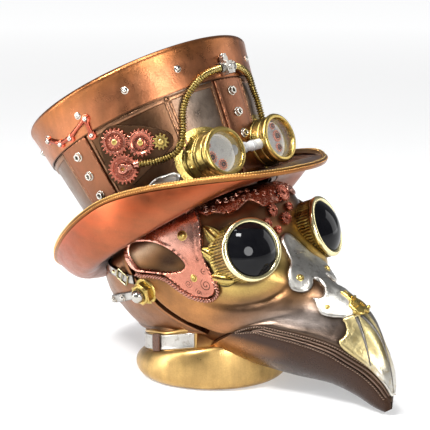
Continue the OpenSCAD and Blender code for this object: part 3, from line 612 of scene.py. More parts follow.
class Nodes:
    """A material's nodes, added and linked in one step each."""

    def __init__(self, name):
        self.material = bpy.data.materials.new(name)
        self.material.use_nodes = True
        self.tree = self.material.node_tree
        self.shader = self.tree.nodes["Principled BSDF"]
        self.place = self.add("ShaderNodeTexCoord").outputs["Object"]

    def add(self, kind, inputs=None, **settings):
        node = self.tree.nodes.new(kind)
        for key, value in settings.items():
            setattr(node, key, value)
        for key, value in (inputs or {}).items():
            self.join(value, node.inputs[key])
        return node

    def join(self, value, socket):
        if isinstance(value, bpy.types.NodeSocket):
            self.tree.links.new(value, socket)
        else:
            socket.default_value = value

    def noise(self, scale, detail=3.0, stretch=None, distortion=0.0):
        where = self.place
        if stretch:
            where = self.add("ShaderNodeMapping", {"Vector": where, "Scale": stretch}).outputs[0]
        return self.add("ShaderNodeTexNoise", {"Vector": where, "Scale": scale, "Detail": detail,
                                               "Distortion": distortion}).outputs["Fac"]

    def span(self, value, a, b, low, high):
        return self.add("ShaderNodeMapRange", {"Value": value, "From Min": a, "From Max": b,
                                               "To Min": low, "To Max": high}).outputs["Result"]

    def maths(self, operation, a, b):
        return self.add("ShaderNodeMath", {0: a, 1: b}, operation=operation).outputs[0]

    def mix(self, share, a, b, how="MIX"):
        node = self.add("ShaderNodeMix", data_type="RGBA", blend_type=how)
        for value, socket in ((share, node.inputs[0]), (a, node.inputs[6]), (b, node.inputs[7])):
            self.join(value, socket)
        return node.outputs[2]

    def over(self, tone, colour, share, how="MIX"):
        """Lays a plain colour over a tone."""
        return self.mix(share, tone, (*colour, 1), how)

    def set(self, **values):
        """Constants and links on the shader's own sockets, with underscores for spaces."""
        for name, value in values.items():
            self.join(value, self.shader.inputs[name.replace("_", " ")])


CLOUD_TONE, SPECK_TONE, LINE_TONE = (0.05, 0.028, 0.018), (0.09, 0.05, 0.03), (0.12, 0.07, 0.035)
GRIME, EDGE_WEAR_AND_HIGHLIGHT = (0.03, 0.017, 0.011), (1.7, 1.6, 1.5)


def finish(name, colour, metallic=1.0, rough=0.34, spread=0.1, mottle=0.25, grain=0.15, dirt=0.7, edge_wear_and_highlight=0.35,
           bump=0.12, hammer=0.0, brushed=None, flecks=None, fleck=0.4):
    """Painted or plated metal: the piece's paint times colour, mottled, dark in corners, edges lighter for
    wear and as a painted highlight.
    """
    n = Nodes(name)
    paint = n.add("ShaderNodeAttribute", attribute_name="paint").outputs["Color"]
    cloud, speck = n.noise(85, 4), n.noise(1400, 4)
    tone = n.over(paint, colour, 1.0, "MULTIPLY")
    tone = n.over(tone, CLOUD_TONE, n.span(cloud, 0.35, 0.65, mottle, 0.0))
    tone = n.over(tone, SPECK_TONE, n.span(speck, 0.35, 0.7, 0.0, grain))
    if flecks is not None:
        tone = n.over(tone, flecks, n.span(n.noise(420, 5, distortion=0.6), 0.54, 0.66, 0.0, fleck))
    if brushed is not None:
        lines = n.noise(260, 3, stretch=brushed)
        tone = n.over(tone, LINE_TONE, n.span(lines, 0.3, 0.7, 0.0, 0.3))
    bend = n.add("ShaderNodeNewGeometry").outputs["Pointiness"]
    tone = n.over(tone, GRIME, n.span(bend, 0.497, 0.44, 0.0, dirt))
    # Lighter edges: worn paint and a painted highlight
    bright = n.over(tone, EDGE_WEAR_AND_HIGHLIGHT, 1.0, "MULTIPLY")
    tone = n.mix(n.span(bend, 0.515, 0.6, 0.0, edge_wear_and_highlight), tone, bright)
    grit = n.maths("ADD", n.maths("MULTIPLY", n.noise(190, 5), 0.6), n.maths("MULTIPLY", speck, 0.4))
    height = speck
    if hammer:
        dents = n.noise(330, 2, distortion=0.3)
        height = n.maths("ADD", n.maths("MULTIPLY", dents, 1.0 + 6 * hammer), height)
    if brushed is not None:
        height = n.maths("ADD", height, n.maths("MULTIPLY", lines, 1.2))
    grained = n.add("ShaderNodeBump", {"Height": height, "Strength": bump, "Distance": 0.0004})
    n.set(Base_Color=tone, Metallic=metallic, Normal=grained.outputs["Normal"],
          Roughness=n.span(grit, 0.3, 0.7, rough - spread, rough + spread))
    return n.material


def cloth(name, colour, other, scale, rough=0.85):
    """Felt or leather: two tones of a fine grain."""
    n = Nodes(name)
    cells = n.add("ShaderNodeTexVoronoi", {"Vector": n.place, "Scale": scale}).outputs["Distance"]
    fuzz = n.noise(scale * 1.7, 5)
    tone = n.mix(n.span(fuzz, 0.3, 0.7, 0.0, 1.0), (*colour, 1), (*other, 1))
    height = n.maths("ADD", cells, fuzz)
    grained = n.add("ShaderNodeBump", {"Height": height, "Strength": 0.5, "Distance": 0.0003})
    n.set(Base_Color=tone, Roughness=n.span(fuzz, 0.3, 0.7, rough - 0.08, rough + 0.08),
          Normal=grained.outputs["Normal"])
    return n.material


def glass(name, colour, alpha=1.0, rough=0.03, coat=0.0, specular=0.5):
    """Glass with faint smears in its polish."""
    n = Nodes(name)
    smear = n.noise(160, 4, stretch=(1, 0.4, 1))
    tone = n.mix(n.span(smear, 0.4, 0.7, 0.0, 0.25), (*colour, 1), (*(0.5 * np.array(colour) + 0.01), 1))
    n.set(Base_Color=tone, Roughness=n.span(smear, 0.35, 0.75, rough, rough + 0.05), Alpha=alpha,
          Specular_IOR_Level=specular, Coat_Weight=coat, Coat_Roughness=0.02)
    return n.material


GOLD, OLD_GOLD, PALE_GOLD = srgb(214, 176, 110), srgb(158, 110, 56), srgb(206, 158, 88)
BRASS, PALE_BRASS, HOSE_BRASS = srgb(198, 174, 100), srgb(242, 230, 178), srgb(208, 186, 114)
COPPER, PINK_COPPER, GEAR_COPPER = srgb(226, 148, 100), srgb(228, 172, 154), srgb(218, 148, 128)
SILVER, DULL_SILVER, STEEL = srgb(192, 190, 184), srgb(226, 228, 228), srgb(194, 192, 184)
BRONZE, RUSSET, CREAM = srgb(178, 124, 76), srgb(176, 120, 84), srgb(232, 200, 168)
UMBER, GUNMETAL, PEWTER = srgb(66, 54, 50), srgb(114, 98, 88), srgb(184, 172, 164)
PATINA, DARK, BLACK = srgb(112, 76, 52), srgb(44, 29, 21), (0.006, 0.004, 0.003)
WHITE = (1, 1, 1)

M_BASE = finish("gold_paint", GOLD, rough=0.36, mottle=0.3, brushed=(1, 1, 0.08), bump=0.1)
M_SKIN = finish("bronze_skin", WHITE, rough=0.36, mottle=0.35, grain=0.2, bump=0.14, brushed=(0.25, 0.25, 1))
M_DARK = finish("umber_skin", WHITE, rough=0.3, mottle=0.3, grain=0.2, bump=0.12)
M_SILVER = finish("leaf_silver", SILVER, rough=0.33, spread=0.08, hammer=0.16, bump=0.18, dirt=0.85,
                  flecks=(0.17, 0.145, 0.11), fleck=0.45)
M_GILT = finish("gilt_silver", WHITE, rough=0.35, hammer=0.2, bump=0.18, dirt=0.85, flecks=(0.36, 0.25, 0.08))
M_BRASS = finish("old_brass", BRASS, rough=0.32, mottle=0.35, grain=0.2, hammer=0.15, bump=0.2, dirt=0.9,
                 edge_wear_and_highlight=0.6, flecks=(0.2, 0.13, 0.03))
M_HOSE = finish("hose_brass", HOSE_BRASS, rough=0.3, mottle=0.2, grain=0.12, dirt=0.6, edge_wear_and_highlight=0.5, bump=0.1)
M_RIM = finish("pale_brass", PALE_BRASS, rough=0.2, mottle=0.12, grain=0.12, bump=0.1)
M_COPPER = finish("pink_copper", PINK_COPPER, rough=0.27, spread=0.08, mottle=0.2, grain=0.12, hammer=0.05,
                  bump=0.14, dirt=0.9, edge_wear_and_highlight=0.5, flecks=(0.3, 0.11, 0.07), fleck=0.25)
M_FINE_COPPER = finish("fine_copper", PINK_COPPER, rough=0.26, grain=0.1, bump=0.1, dirt=0.5, edge_wear_and_highlight=0.4)
M_GEARS = finish("gear_copper", GEAR_COPPER, rough=0.26, mottle=0.3, grain=0.2, edge_wear_and_highlight=0.7, bump=0.15,
                 flecks=(0.4, 0.12, 0.07), fleck=0.35)
M_HAT = finish("hat_copper", WHITE, rough=0.33, mottle=0.22, edge_wear_and_highlight=0.1, brushed=(1, 1, 0.12))
M_CROWN = finish("crown_patina", WHITE, mottle=0.4, grain=0.2, brushed=(1, 1, 0.15), bump=0.14)
M_BRIM = finish("brim_copper", WHITE, rough=0.36, grain=0.12, brushed=(0.2, 0.2, 1), bump=0.1)
M_STEEL = finish("worn_steel", STEEL, rough=0.25, grain=0.2, dirt=0.8, edge_wear_and_highlight=0.6, bump=0.16)
M_BINDING = finish("binding_gold", WHITE, mottle=0.3, grain=0.2, dirt=0.6, edge_wear_and_highlight=0.6, bump=0.16)
M_CORD = finish("umber_cord", WHITE, metallic=0.8, rough=0.36, grain=0.2, dirt=0.6, bump=0.16)
M_CUP_COGS = finish("cup_copper", PINK_COPPER, metallic=0.4, rough=0.42, mottle=0.15, grain=0.1, dirt=0.9,
                    edge_wear_and_highlight=0.6)
M_DISC = finish("dull_silver", DULL_SILVER, metallic=0.3, rough=0.5, mottle=0.1, grain=0.1, hammer=0.3,
                bump=0.35, dirt=0.3, flecks=(0.3, 0.3, 0.3), fleck=0.35)
M_PLAIN = finish("plain_steel", STEEL, rough=0.35, mottle=0.2, brushed=(1, 1, 0.1))
M_FELT = cloth("felt", srgb(58, 52, 48), srgb(40, 36, 33), 1800)
M_LEATHER = cloth("leather", srgb(92, 56, 34), srgb(58, 34, 22), 900, rough=0.55)
M_BLACK_GLASS = glass("black_glass", (0.002, 0.002, 0.003), rough=0.02, specular=0.2)
M_CLEAR_GLASS = glass("clear_glass", (0.2, 0.22, 0.22), alpha=0.1, rough=0.02, coat=1.0)


# ---- Stand ---------------------------------------------------------------------------------------------
COLLAR_GAP, COLLAR_TOP, BASE_H = 60.0, 25.2, 8.0
BOWL_IN, SHOULDER, PAD_R, PAD_H = 30.6, 10.9, 31.06, 1.25
NECK_RISE = math.tan(math.radians(12.0))
STRAP_LOW, STRAP_HIGH, KEEPER_SPAN = 16.6, 23.9, (255.5, 264.5)


def build_stand():
    bulge = curve([(31.6, 0.0), (33.7, 0.8), (35.4, 2.5), (36.2, 4.8), (36.0, 7.0), (35.0, 9.0), (33.6, 10.4),
                   (32.3, SHOULDER)], 0.4)
    profile = [(0, PAD_H), (PAD_R, PAD_H), (PAD_R, 0.0), (31.4, 0.0), *map(tuple, bulge), (BOWL_IN, SHOULDER),
               (BOWL_IN, BASE_H), (0, BASE_H)]
    points, faces = lathe(profile, 180)
    points = np.array(points)
    # The bowl's shoulder climbs to the strap's sloping lower edge
    climb = np.maximum(STRAP_LOW - 0.5 - SHOULDER - NECK_RISE * points[:, 1], -1.5)
    climb[np.hypot(points[:, 0], points[:, 1]) <= BOWL_IN - 0.1] = 0
    points[:, 2] += climb * ramp(points[:, 2], 3.0, SHOULDER)**1.5
    make("base", Soup().add(points, faces), "bust", M_BASE, ["base_disc"], space=IN_ROW)
    top = COLLAR_TOP
    neck_piece("collar", [(29.0, BASE_H, 0), (31.3, BASE_H, 0), (31.3, top - 1.1, 1), (31.9, top - 0.6, 1),
                          (31.7, top + 0.3, 1), (30.6, top + 0.6, 1), (29.4, top + 0.2, 1)],
               (COLLAR_GAP, 360 - COLLAR_GAP), M_BASE, "neck_collar", 0.35)
    low, high = STRAP_LOW, STRAP_HIGH
    middle = (low + high) / 2
    neck_piece("neck_band", [(31.3, low, 1), (32.0, low, 1), (32.35, low + 0.5, 1), (32.2, low + 1.1, 1),
                             (32.1, low + 1.6, 1), (32.2, middle, 1), (32.1, high - 1.6, 1),
                             (32.2, high - 1.1, 1), (32.35, high - 0.5, 1), (32.0, high, 1), (31.3, high, 1)],
               (COLLAR_GAP + 2, 358 - COLLAR_GAP), M_SILVER, "neck_strap", 0.05)
    neck_piece("band_keeper", [(32.25, low - 0.6, 1), (32.9, low - 0.6, 1), (33.2, low + 0.3, 1),
                               (33.25, middle, 1), (33.2, high - 0.3, 1), (32.9, high + 0.6, 1),
                               (32.25, high + 0.6, 1)],
               KEEPER_SPAN, M_LEATHER, "strap_keeper", 0.0)


def neck_piece(name, section, span, material, node, wave):
    """A piece round the neck. Section points hold the radius, the height at the axis, and 1 where the
    height follows the neck's tilt."""
    first, last = span
    az = np.linspace(first, last, max(12, int((last - first) / 1.6)))
    c, ripple = np.cos(np.radians(az)), wave * np.sin(np.radians(az * 9))
    p = np.stack([round_axis(az, r, z + tilt * (NECK_RISE * r * c + ripple)) for r, z, tilt in section], 1)
    rows, columns = len(az), len(section)
    faces = grid_faces(rows, columns, wrap=True, flip=True) + end_faces(rows, columns, flip=True)
    make(name, Soup().add(p, faces), "bust", material, [node], space=IN_ROW, bevel=0.2)


# ---- Head, mask and beak ---------------------------------------------------------------------------------
CONTACTS = []


def touch(points):
    """Remembers where a fitting meets the skin, for the dark wash and painted contact shade round it."""
    CONTACTS.append(np.asarray(points, float).reshape(-1, 3))


def wash_and_contact_shade(points, colour, reach=1.7, depth=0.8):
    """Darkens paint near the fittings' edges, as a dark wash and as painted contact shade."""
    far = nearest(np.concatenate(CONTACTS))(points.reshape(-1, 3)).reshape(points.shape[:-1])
    return colour * (1 - depth * np.exp(-(far / reach)**2))[..., None]


def skin_paint(a, b, p):
    th = np.abs(a)
    rho = np.minimum(from_eye(p, -1), from_eye(p, 1))
    t = above_mouth(a, b)
    return wash_and_contact_shade(p, layers(
        BRONZE,
        (GUNMETAL, ramp(b, -50, -68) * ramp(th, 96, 66)),
        (BRASS, 0.8 * hill(rho, 16.5, 4.5) * ramp(b, -24, -36) * ramp(th, 84, 66)),
        (srgb(96, 60, 40), 0.9 * ramp(b, -34, -22) * ramp(th, 50, 38)),
        (OLD_GOLD, 0.7 * spot(th, b, 30, -62, 8, 8)),
        (UMBER, 0.75 * spot(th, b, 62, -56, 11, 5) * ramp(th, 92, 80)),
        (UMBER, 0.8 * ramp(b, -64, -70) * hill(t, 10, 4)),
        # Painted highlight on the boss at the mouth's corner
        (RUSSET, 0.6 * spot(th, b, 84, -60, 7, 4)),
        (PEWTER, 0.75 * spot(th, b, 50, -73, 17, 8) * ramp(t, 3, 8)),
        (DARK, 0.85 * ramp(b, -60, -64) * ramp(t, 3.2, 1.0)),
        # Painted highlight at the top of the almond, then painted shade in its dent
        (CREAM, 0.9 * spot(th, b, 84, -11.5, 9, 4)),
        (BLACK, 0.97 * spot(th, b, 75, -22.5, 10, 7.5)**0.6),
        # Painted shade where the eye barrels meet the skin
        (DARK, 0.8 * hill(rho, 14.6, 0.9))))


def build_core():
    heights = np.concatenate([np.linspace(17.6, 6, 14), np.linspace(5, -118, 110)])
    a, b = np.meshgrid(np.linspace(0, 360, 120, endpoint=False), heights)
    rows, columns = a.shape
    faces = grid_faces(rows, columns, wrap=True, flip=True) + end_faces(rows, columns, flip=True)
    # The copper band at height -44 is a painted highlight
    colour = layers(srgb(96, 62, 42), (COPPER, 0.5 * hill(b, -44, 5)))
    soup = Soup().add(core(a, b), faces, paint=colour.reshape(-1, 3))
    throat = curve([(30.6, 8.1), (31.0, 12), (31.1, 17), (30.7, 22), (29.6, 26), (27.5, 29), (24, 31)], 0.6)
    points, faces = lathe([(0, 8.1), *map(tuple, throat), (0, 31)], 120)
    rise = np.array(points) @ (0, 0.21, 1)
    # Darker at the top, where the plug goes in under the head: painted shade
    tone = layers(PALE_GOLD, (srgb(150, 98, 54), ramp(rise, 14, 20)), (DARK, 0.8 * ramp(rise, 22, 27)))
    soup.add(points, faces, np.linalg.inv(IN_HEAD), tone)
    make("neck_and_head", soup, "bust", M_SKIN, ["head_form"])


HOOD_EDGE, HOOD_TOP = 97, 17.4


def hood_low(th):
    return -32 - 27 * np.minimum(1, np.abs(th - 180) / 83)**1.6


def build_hood():
    def lay(u, v):
        th = HOOD_EDGE + (360 - 2 * HOOD_EDGE) * u
        return th, HOOD_TOP + (hood_low(th) - HOOD_TOP) * v**0.9

    def out(a, b):
        rear = np.minimum(np.abs(a - HOOD_EDGE), np.abs(a - 360 + HOOD_EDGE)) * 0.7
        hem = hill(b - hood_low(a), 0.9, 0.8) + hill(rear, 0.9, 0.8)
        folds = np.sin(np.radians((a - 180) * 9) + b * 0.12) * ramp(b, -14, -34) * 0.35
        return 0.1 + 0.45 * np.minimum(hem, 1) + folds

    def paint(a, b, p):
        return layers(srgb(158, 108, 72), (GUNMETAL, 0.5 * ramp(np.abs(a - 180), 70, 20)),
                      (DARK, 0.7 * hill(b - hood_low(a), 2.4, 0.6)))
    hood = sheet(bare, lay, 120, 90, out, -2.2, paint)
    make("hood", hood, "bust", M_SKIN, ["hood_shell"])


MASK_EDGE, EYE_HOLE = 94.0, 11.5


def mask_half(z):
    return np.where(z > -62, MASK_EDGE - np.maximum(0, -z - 50) * 0.5, smooth(MOUTH, 1, z))


def build_mask():
    def lay(u, v):
        z = -4.6 - 115.8 * v
        half = mask_half(z)
        return -half + 2 * half * u, z

    def out(a, b):
        edge = (mask_half(b) - np.abs(a)) * 0.66
        return 0.1 + 0.5 * hill(edge, 0.9, 0.9) * ramp(b, -66, -60)

    def eye_hole(p):
        return (from_eye(p, -1) < EYE_HOLE) | (from_eye(p, 1) < EYE_HOLE)
    mask = sheet(skin, lay, 190, 200, out, -2.0, skin_paint, eye_hole)
    make("mask", mask, "bust", M_SKIN, ["mask_shell"])


def build_jaw():
    def lay(u, v):
        z = -64 - 59.4 * v
        half = np.where(z > -121, smooth(MOUTH, 1, z) + 0.4, 6)
        return half + (360 - 2 * half) * u, z

    def paint(a, b, p):
        th = np.abs((a + 180) % 360 - 180)
        return layers(UMBER, (BRONZE, 0.95 * ramp(b, -86, -66) * ramp(th, 84, 104)),
                      (PALE_GOLD, 0.6 * ramp(b, -92, -74) * ramp(th, 112, 136)),
                      (DARK, 0.8 * hill(above_mouth(th, b), -1.5, 1.6)))
    jaw = sheet(bare, lay, 130, 110, 0.0, -2.0, paint)
    make("jaw", jaw, "bust", M_DARK, ["lower_beak"])


def lip_route(side, up, down, first, last):
    """A line along the mouth seam, up millimetres above it, round the corner, and down below it."""
    z = np.arange(last, first, 1.5)

    def at(z, off):
        return np.degrees(np.radians(smooth(MOUTH, 1, z)) - off / smooth(HEAD, 1, z))
    upper = [(side * at(q, up), q + 0.15 * up) for q in z]
    lower = [(side * at(q, -down), q - 0.15 * down) for q in z[::-1]]
    corner = [(side * (smooth(MOUTH, 1, first) + 1.2 + 1.3 * up), first + 0.35 * up)]
    return np.array(upper + corner + lower)


def build_lips():
    soup, stitches = Soup(), Soup()
    welt = (1.9, 1.7, 0.48, -64.6, srgb(92, 74, 64))
    lip = (0.7, 0.6, 0.42, -67.0, srgb(150, 124, 108))
    for side in SIDES:
        for up, down, size, first, tone in (welt, lip):
            way = curve(lip_route(side, up, down, first, -117.5), 0.5)
            path = skin(*way.T, 0.35)
            hint = head_normal(*way.T)
            soup.add(*tube(path, size, 10, hint), paint=tone)
            if up > 1:
                sewn = beads(path + hint * size * 0.95, hint, 1.25, 0.85, 0.3, 0.3, slant=35)
                stitches.merge(sewn, srgb(158, 136, 116))
            touch(path)
    make("lips", soup.merge(stitches), "bust", M_CORD, ["mouth_piping"])


RIDGE_NEAR = [(-2.5, -33.2), (-7, -41), (-11, -46), (-19.5, -50), (-25, -53.5), (-28.5, -57.5),
              (-26.5, -60.3),
              (-21, -61.3), (-14, -59.6), (-9, -57.3), (-6.8, -58.8), (-8.3, -62), (-14.5, -65), (-21, -66.6),
              (-25.2, -65.2), (-26.6, -66.8), (-30, -69), (-34.5, -73), (-32.5, -76), (-27.5, -78),
              (-21, -79.3)]
TIP_NEAR = [(-14, -79.4), (-27, -79.2), (-29, -81), (-33.5, -84), (-40.5, -86.2), (-47, -87), (-51, -89.6),
            (-52.5, -93), (-51, -98), (-47, -103), (-39, -108.5), (-27, -113.5), (-12, -117.6)]
TIP_RIBS = [[(15.5 * side, -81), (27.5 * side, -93), (43 * side, -103.5)] for side in SIDES]
TIP_RIBS += [[(-9, -81), (1.5, -97), (1, -117)], [(9, -81), (10, -90), (4, -99)]]
PLATE_LIFT = 0.25


def both_sides(near):
    return near + mirrored(near)[::-1]


def build_beak_plates():
    def crest(far, a, b):
        return 0.45 * hill(a, 0, 5) + 0.18 * hill(far, 0.9, 0.35)

    def rims(far, a, b):
        return 0.3 * hill(far, 0.9, 0.4)
    ridge = outline(both_sides(RIDGE_NEAR), 0.4, 20)
    points, faces = plate(skin, [ridge], 1.0, 0.5, 0.7, shape=crest, radius=20.0, lift=PLATE_LIFT)
    make("ridge_plate", Soup().add(points, faces), "bust", M_SILVER, ["beak_plate"])
    tip = outline(both_sides(TIP_NEAR), 0.4, 12)
    points, faces = plate(skin, [tip], 0.9, 0.5, 0.6, shape=rims, radius=12.0, lift=PLATE_LIFT)
    gilt = layers(srgb(196, 180, 130), (srgb(208, 206, 198), ramp(points[:, 2], -96, -113)))
    soup = Soup().add(points, faces, paint=gilt)
    for line in TIP_RIBS:
        way = curve(line, 0.6)
        rib = curve(skin(*way.T, 0.9), 0.5)
        soup.add(*tube(rib, np.linspace(0.95, 0.35, len(rib)), 10, head_normal(*way[0])), paint=SILVER)
    make("tip_plate", soup, "bust", M_GILT, ["beak_tip_plate"])
    touch(skin(*ridge.T))
    touch(skin(*tip.T))


CLASP_NEAR = [(-4, -68.5), (-6, -73), (-12, -75.5), (-12.5, -80), (-6, -81.5)]
CLASP_COGS = ((-7, -76.5, 9, 1.7), (6, -77.5, 8, 1.4), (0, -73.5, 8, 1.2))


def build_beak_fittings():
    clasp = outline(CLASP_NEAR + [(0, -80.5)] + mirrored(CLASP_NEAR)[::-1] + [(0, -70.5)], 0.35, 22)
    points, faces = plate(skin, [clasp], 1.0, 0.4, 0.6, radius=22.0, lift=1.35, sunk=-1.2,
                          shape=lambda far, a, b: 0.25 * hill(far, 0.8, 0.3))
    soup = Soup().add(points, faces)
    for a, b, n, r in CLASP_COGS:
        soup.add(*gear_solid(n, 2 * r / (n + 1.5), 0.6, 0.35), stand_on(skin, a, b, 2.2, a))
    make("ridge_clasp", soup, "bust", M_BRASS, ["beak_clamp"])
    rivets = Soup()
    for side in SIDES:
        rivets.add(*rivet(1.25, 1.0, 1.75), stand_on(skin, side * 17, -54.6, 1.15))
        rivets.add(*rivet(0.8, 0.6, 1.2), stand_on(skin, side * 26, -71.6, 1.1))
        rivets.add(*rivet(0.9, 0.9), stand_on(skin, side * 14, -79.3, 2.5))
    make("beak_rivets", rivets, "bust", M_BRASS, ["beak_fasteners"])


# ---- Eyes ------------------------------------------------------------------------------------------------
def build_eye(side, word):
    place = eye_frame(side)
    turns, rows = 360, 22
    t, v = np.meshgrid(np.linspace(0, 2 * np.pi, turns, endpoint=False), np.linspace(0, 1, rows))
    z = -EYE_LEN - 1 + (EYE_LEN + 1 - RIM_T) * v
    rough_edge = rng.normal(0, 1, (1, turns))
    wave = 0.5 + 0.5 * np.cos(t * 60 + 0.5 * np.sin(z * 1.7 + t * 9))
    r = EYE_R - 0.15 - 0.55 * wave * ramp(v, 0.02, 0.12) * ramp(v, 1.0, 0.9) + 0.08 * rough_edge
    r = r + 0.7 * ramp(v, 0.25, 0.0)
    p = np.stack([r * np.cos(t), r * np.sin(t), z], -1)
    # Dark paint in the knurl's grooves: painted shade
    soup = Soup().add(p, grid_faces(rows, turns, wrap=True), place,
                      layers(np.ones(3), (DARK, 0.45 * wave.ravel())))
    # The groove under the rim is painted half dark: painted shade
    groove = [(EYE_R - 0.2, -RIM_T - 0.6), (EYE_R - 0.6, -RIM_T - 0.3), (EYE_R - 3.0, -RIM_T - 0.25)]
    soup.add(*lathe(groove, 96), place, (0.5, 0.5, 0.5))
    make("eye_barrel_knurled_" + word, soup, "bust", M_BRASS, ["eye_barrel_" + word])
    rim = [(x, min(z, 0.35)) for x, z in arc((EYE_R - 1.15, -1.2), 1.45, -60, 240, 18)]
    rim += [(EYE_R - 2.5, -0.7), (EYE_R - 2.5, -RIM_T), (EYE_R - 0.2, -RIM_T)]
    make("eye_rim_" + word, Soup().add(*lathe(rim, 144, closed=True), place), "bust", M_RIM,
         ["eye_ring_" + word])
    glass_r = EYE_R - 2.45
    ball = (glass_r**2 + DOME**2) / (2 * DOME)
    top = math.asin(glass_r / ball)
    dome = [(ball * math.sin(q), DOME - ball + ball * math.cos(q)) for q in np.linspace(top, 0, 28)[:-1]]
    lens = [(0, -RIM_T), (glass_r, -RIM_T)] + dome + [(0, DOME)]
    make("eye_glass_" + word, Soup().add(*lathe(lens, 120), place), "bust", M_BLACK_GLASS,
         ["eye_lens_" + word])


def leaf(root, tip, up, width, thick):
    """A pointed leaf with a raised midrib, from root to tip."""
    rows, columns = 22, 13
    u, v = np.meshgrid(np.linspace(0, 1, rows), np.linspace(-1, 1, columns), indexing="ij")
    along = tip - root
    side = unit(np.cross(up, along))
    half = width / 2 * (np.sin(np.pi * np.clip(u, 0, 1)**0.75)**0.8 + 0.02)
    swell = np.exp(-(v / 0.22)**2) * 0.55 + (1 - np.abs(v)**2) * 0.7 + 0.16 * np.cos(v * 14)
    rib = thick * swell * np.sin(np.pi * (0.06 + 0.9 * u))**0.6
    lift = 1.0 * np.sin(np.pi * u)
    spine = root + u[..., None] * along
    top = spine + (v * half)[..., None] * side + (rib + lift)[..., None] * up
    low = spine + (v * half * 0.9)[..., None] * side + (lift - 1.0)[..., None] * up
    n = rows * columns
    faces = grid_faces(rows, columns) + grid_faces(rows, columns, first=n, flip=True)
    return np.stack([top, low]), faces + walls(border(rows, columns)[::-1], n)


CLAWS = (((-40, -27), (-46.5, -15.5)), ((-45, -34.5), (-54.5, -23.5)), ((-47.5, -43.5), (-58.5, -37)))


def build_claws():
    soup = Soup()
    for side in SIDES:
        for root, tip in CLAWS:
            a = skin(-side * root[0], root[1], 1.6)
            b = skin(-side * tip[0], tip[1], 0.5)
            up = head_normal(-side * (root[0] + tip[0]) / 2, (root[1] + tip[1]) / 2)
            soup.add(*leaf(a, b, up, 7.6, 1.7))
            touch(a + np.linspace(0, 1, 12)[:, None] * (b - a))
    make("leaf_claws", soup, "bust", M_BRASS, ["eye_claws"])


# ---- Cheeks, brow and straps ---------------------------------------------------------------------
CHEEK_OUT = [(-45, -6.4), (-58, -6), (-73.5, -5.6), (-86, -5.4), (-95.5, -5.6), (-95.5, -14), (-93, -18.6),
             (-87, -23.4), (-82, -27.4), (-79.6, -32), (-78, -38), (-74.2, -43), (-69.5, -45.2),
             (-63.5, -44.2),
             (-58, -39.8), (-55, -32), (-52.5, -25), (-48.2, -17), (-45.4, -10)]
ALMOND = [(-91.5, -7.4), (-82, -9.2), (-75, -13), (-70.3, -18.5), (-67.6, -24.5), (-67.9, -28),
          (-72.5, -28.6), (-80, -26), (-86, -22.2), (-90.6, -17.4)]
ROPE = [(-93, -20), (-87, -24.8), (-82, -29.2), (-79.6, -35), (-76.8, -41.6), (-70.5, -46.4), (-62.6, -45.4),
        (-57.5, -40.2)]
FRONT_ROPE = ((-45.6, -7.5), (-46.4, -11), (-49.2, -17.5), (-53.4, -25), (-56, -32.4))
# Place, size and turning sense of the scrolls at the guard's foot
CHEEK_SCROLLS = ((-64, -39.6, 2.9, 1), (-59.4, -33.6, 2.0, -1), (-71.6, -41.2, 2.0, 1),
                 (-72.6, -35.6, 2.1, -1), (-57.4, -27.6, 1.4, 1))


def scroll(a, b, size, turns=1.6, spin=0.0, flip=1, lift=1.2, r=0.32):
    """A small spiral of wire on the mask."""
    t = np.linspace(0, turns * 2 * np.pi, int(16 * turns))
    reach = size * (0.15 + 0.85 * t / t[-1])
    place = stand_on(skin, a, b, lift, spin)
    p = np.column_stack([flip * reach * np.cos(t), reach * np.sin(t), np.zeros_like(t)])
    return tube(p @ place[:3, :3].T + place[:3, 3], np.linspace(r, r * 0.6, len(t)), 6, place[:3, 2])


def rope_on(soup, line, lift, r, pitch, size, paint):
    """A two-stranded rope laid along a line on the mask."""
    way = curve(line, 0.5)
    path = curve(skin(*way.T, lift), 0.25)
    share, shares = np.linspace(0, 1, len(path)), np.linspace(0, 1, len(way))
    hint = head_normal(*(np.interp(share, shares, column) for column in way.T))
    for phase in (0, np.pi):
        soup.add(*strand(path, hint, r, phase, pitch, size), paint=paint)


def build_cheeks(side, word):
    out = outline([(-side * a, b) for a, b in CHEEK_OUT])
    hole = outline([(-side * a, b) for a, b in ALMOND])

    def shape(far, a, b):
        front = ramp(np.abs(a), 62, 56) * ramp(b, -46, -30)
        return 0.4 * hill(far, 0.75, 0.35) + (0.3 * hill(far, 2.3, 0.3) - 0.12 * np.cos(far * 2)) * front
    points, faces = plate(skin, [out, hole], 1.1, 0.5, 0.75, shape=shape, lift=PLATE_LIFT)
    tone = layers((0.66, 0.48, 0.42), ((1.08, 1.05, 1.04), ramp(points[:, 2], -30, -12)))
    soup = Soup().add(points, faces, paint=tone)
    for a, b, size, flip in CHEEK_SCROLLS:
        soup.add(*scroll(-side * a, b, size, 1.7, a * 3, side * flip), paint=(0.95, 0.74, 0.7))
    front = [(-side * a, b) for a, b in FRONT_ROPE]
    rope_on(soup, front, 1.25, 0.24, 1.4, 0.3, (0.95, 0.72, 0.68))
    make("cheek_guard_" + word, soup, "bust", M_COPPER, ["cheek_plate_" + word])
    touch(skin(*out.T))
    touch(skin(*hole.T))
    rope = Soup()
    rope_on(rope, [(-side * a, b) for a, b in ROPE], 1.7, 0.5, 3.0, 0.6, (1.12, 1.02, 0.98))
    make("cheek_rope_" + word, rope, "bust", M_FINE_COPPER, ["cheek_trim_" + word])


def build_cheek_rivets():
    soup = Soup()
    for side in SIDES:
        for a, b, r in ((59.5, -15.5, 1.9), (67.5, -34.5, 1.3)):
            soup.add(*rivet(r, r * 0.85, r + 0.45), stand_on(skin, side * a, b, 1.25))
    make("cheek_studs", soup, "bust", M_BRASS, ["cheek_rivets"])


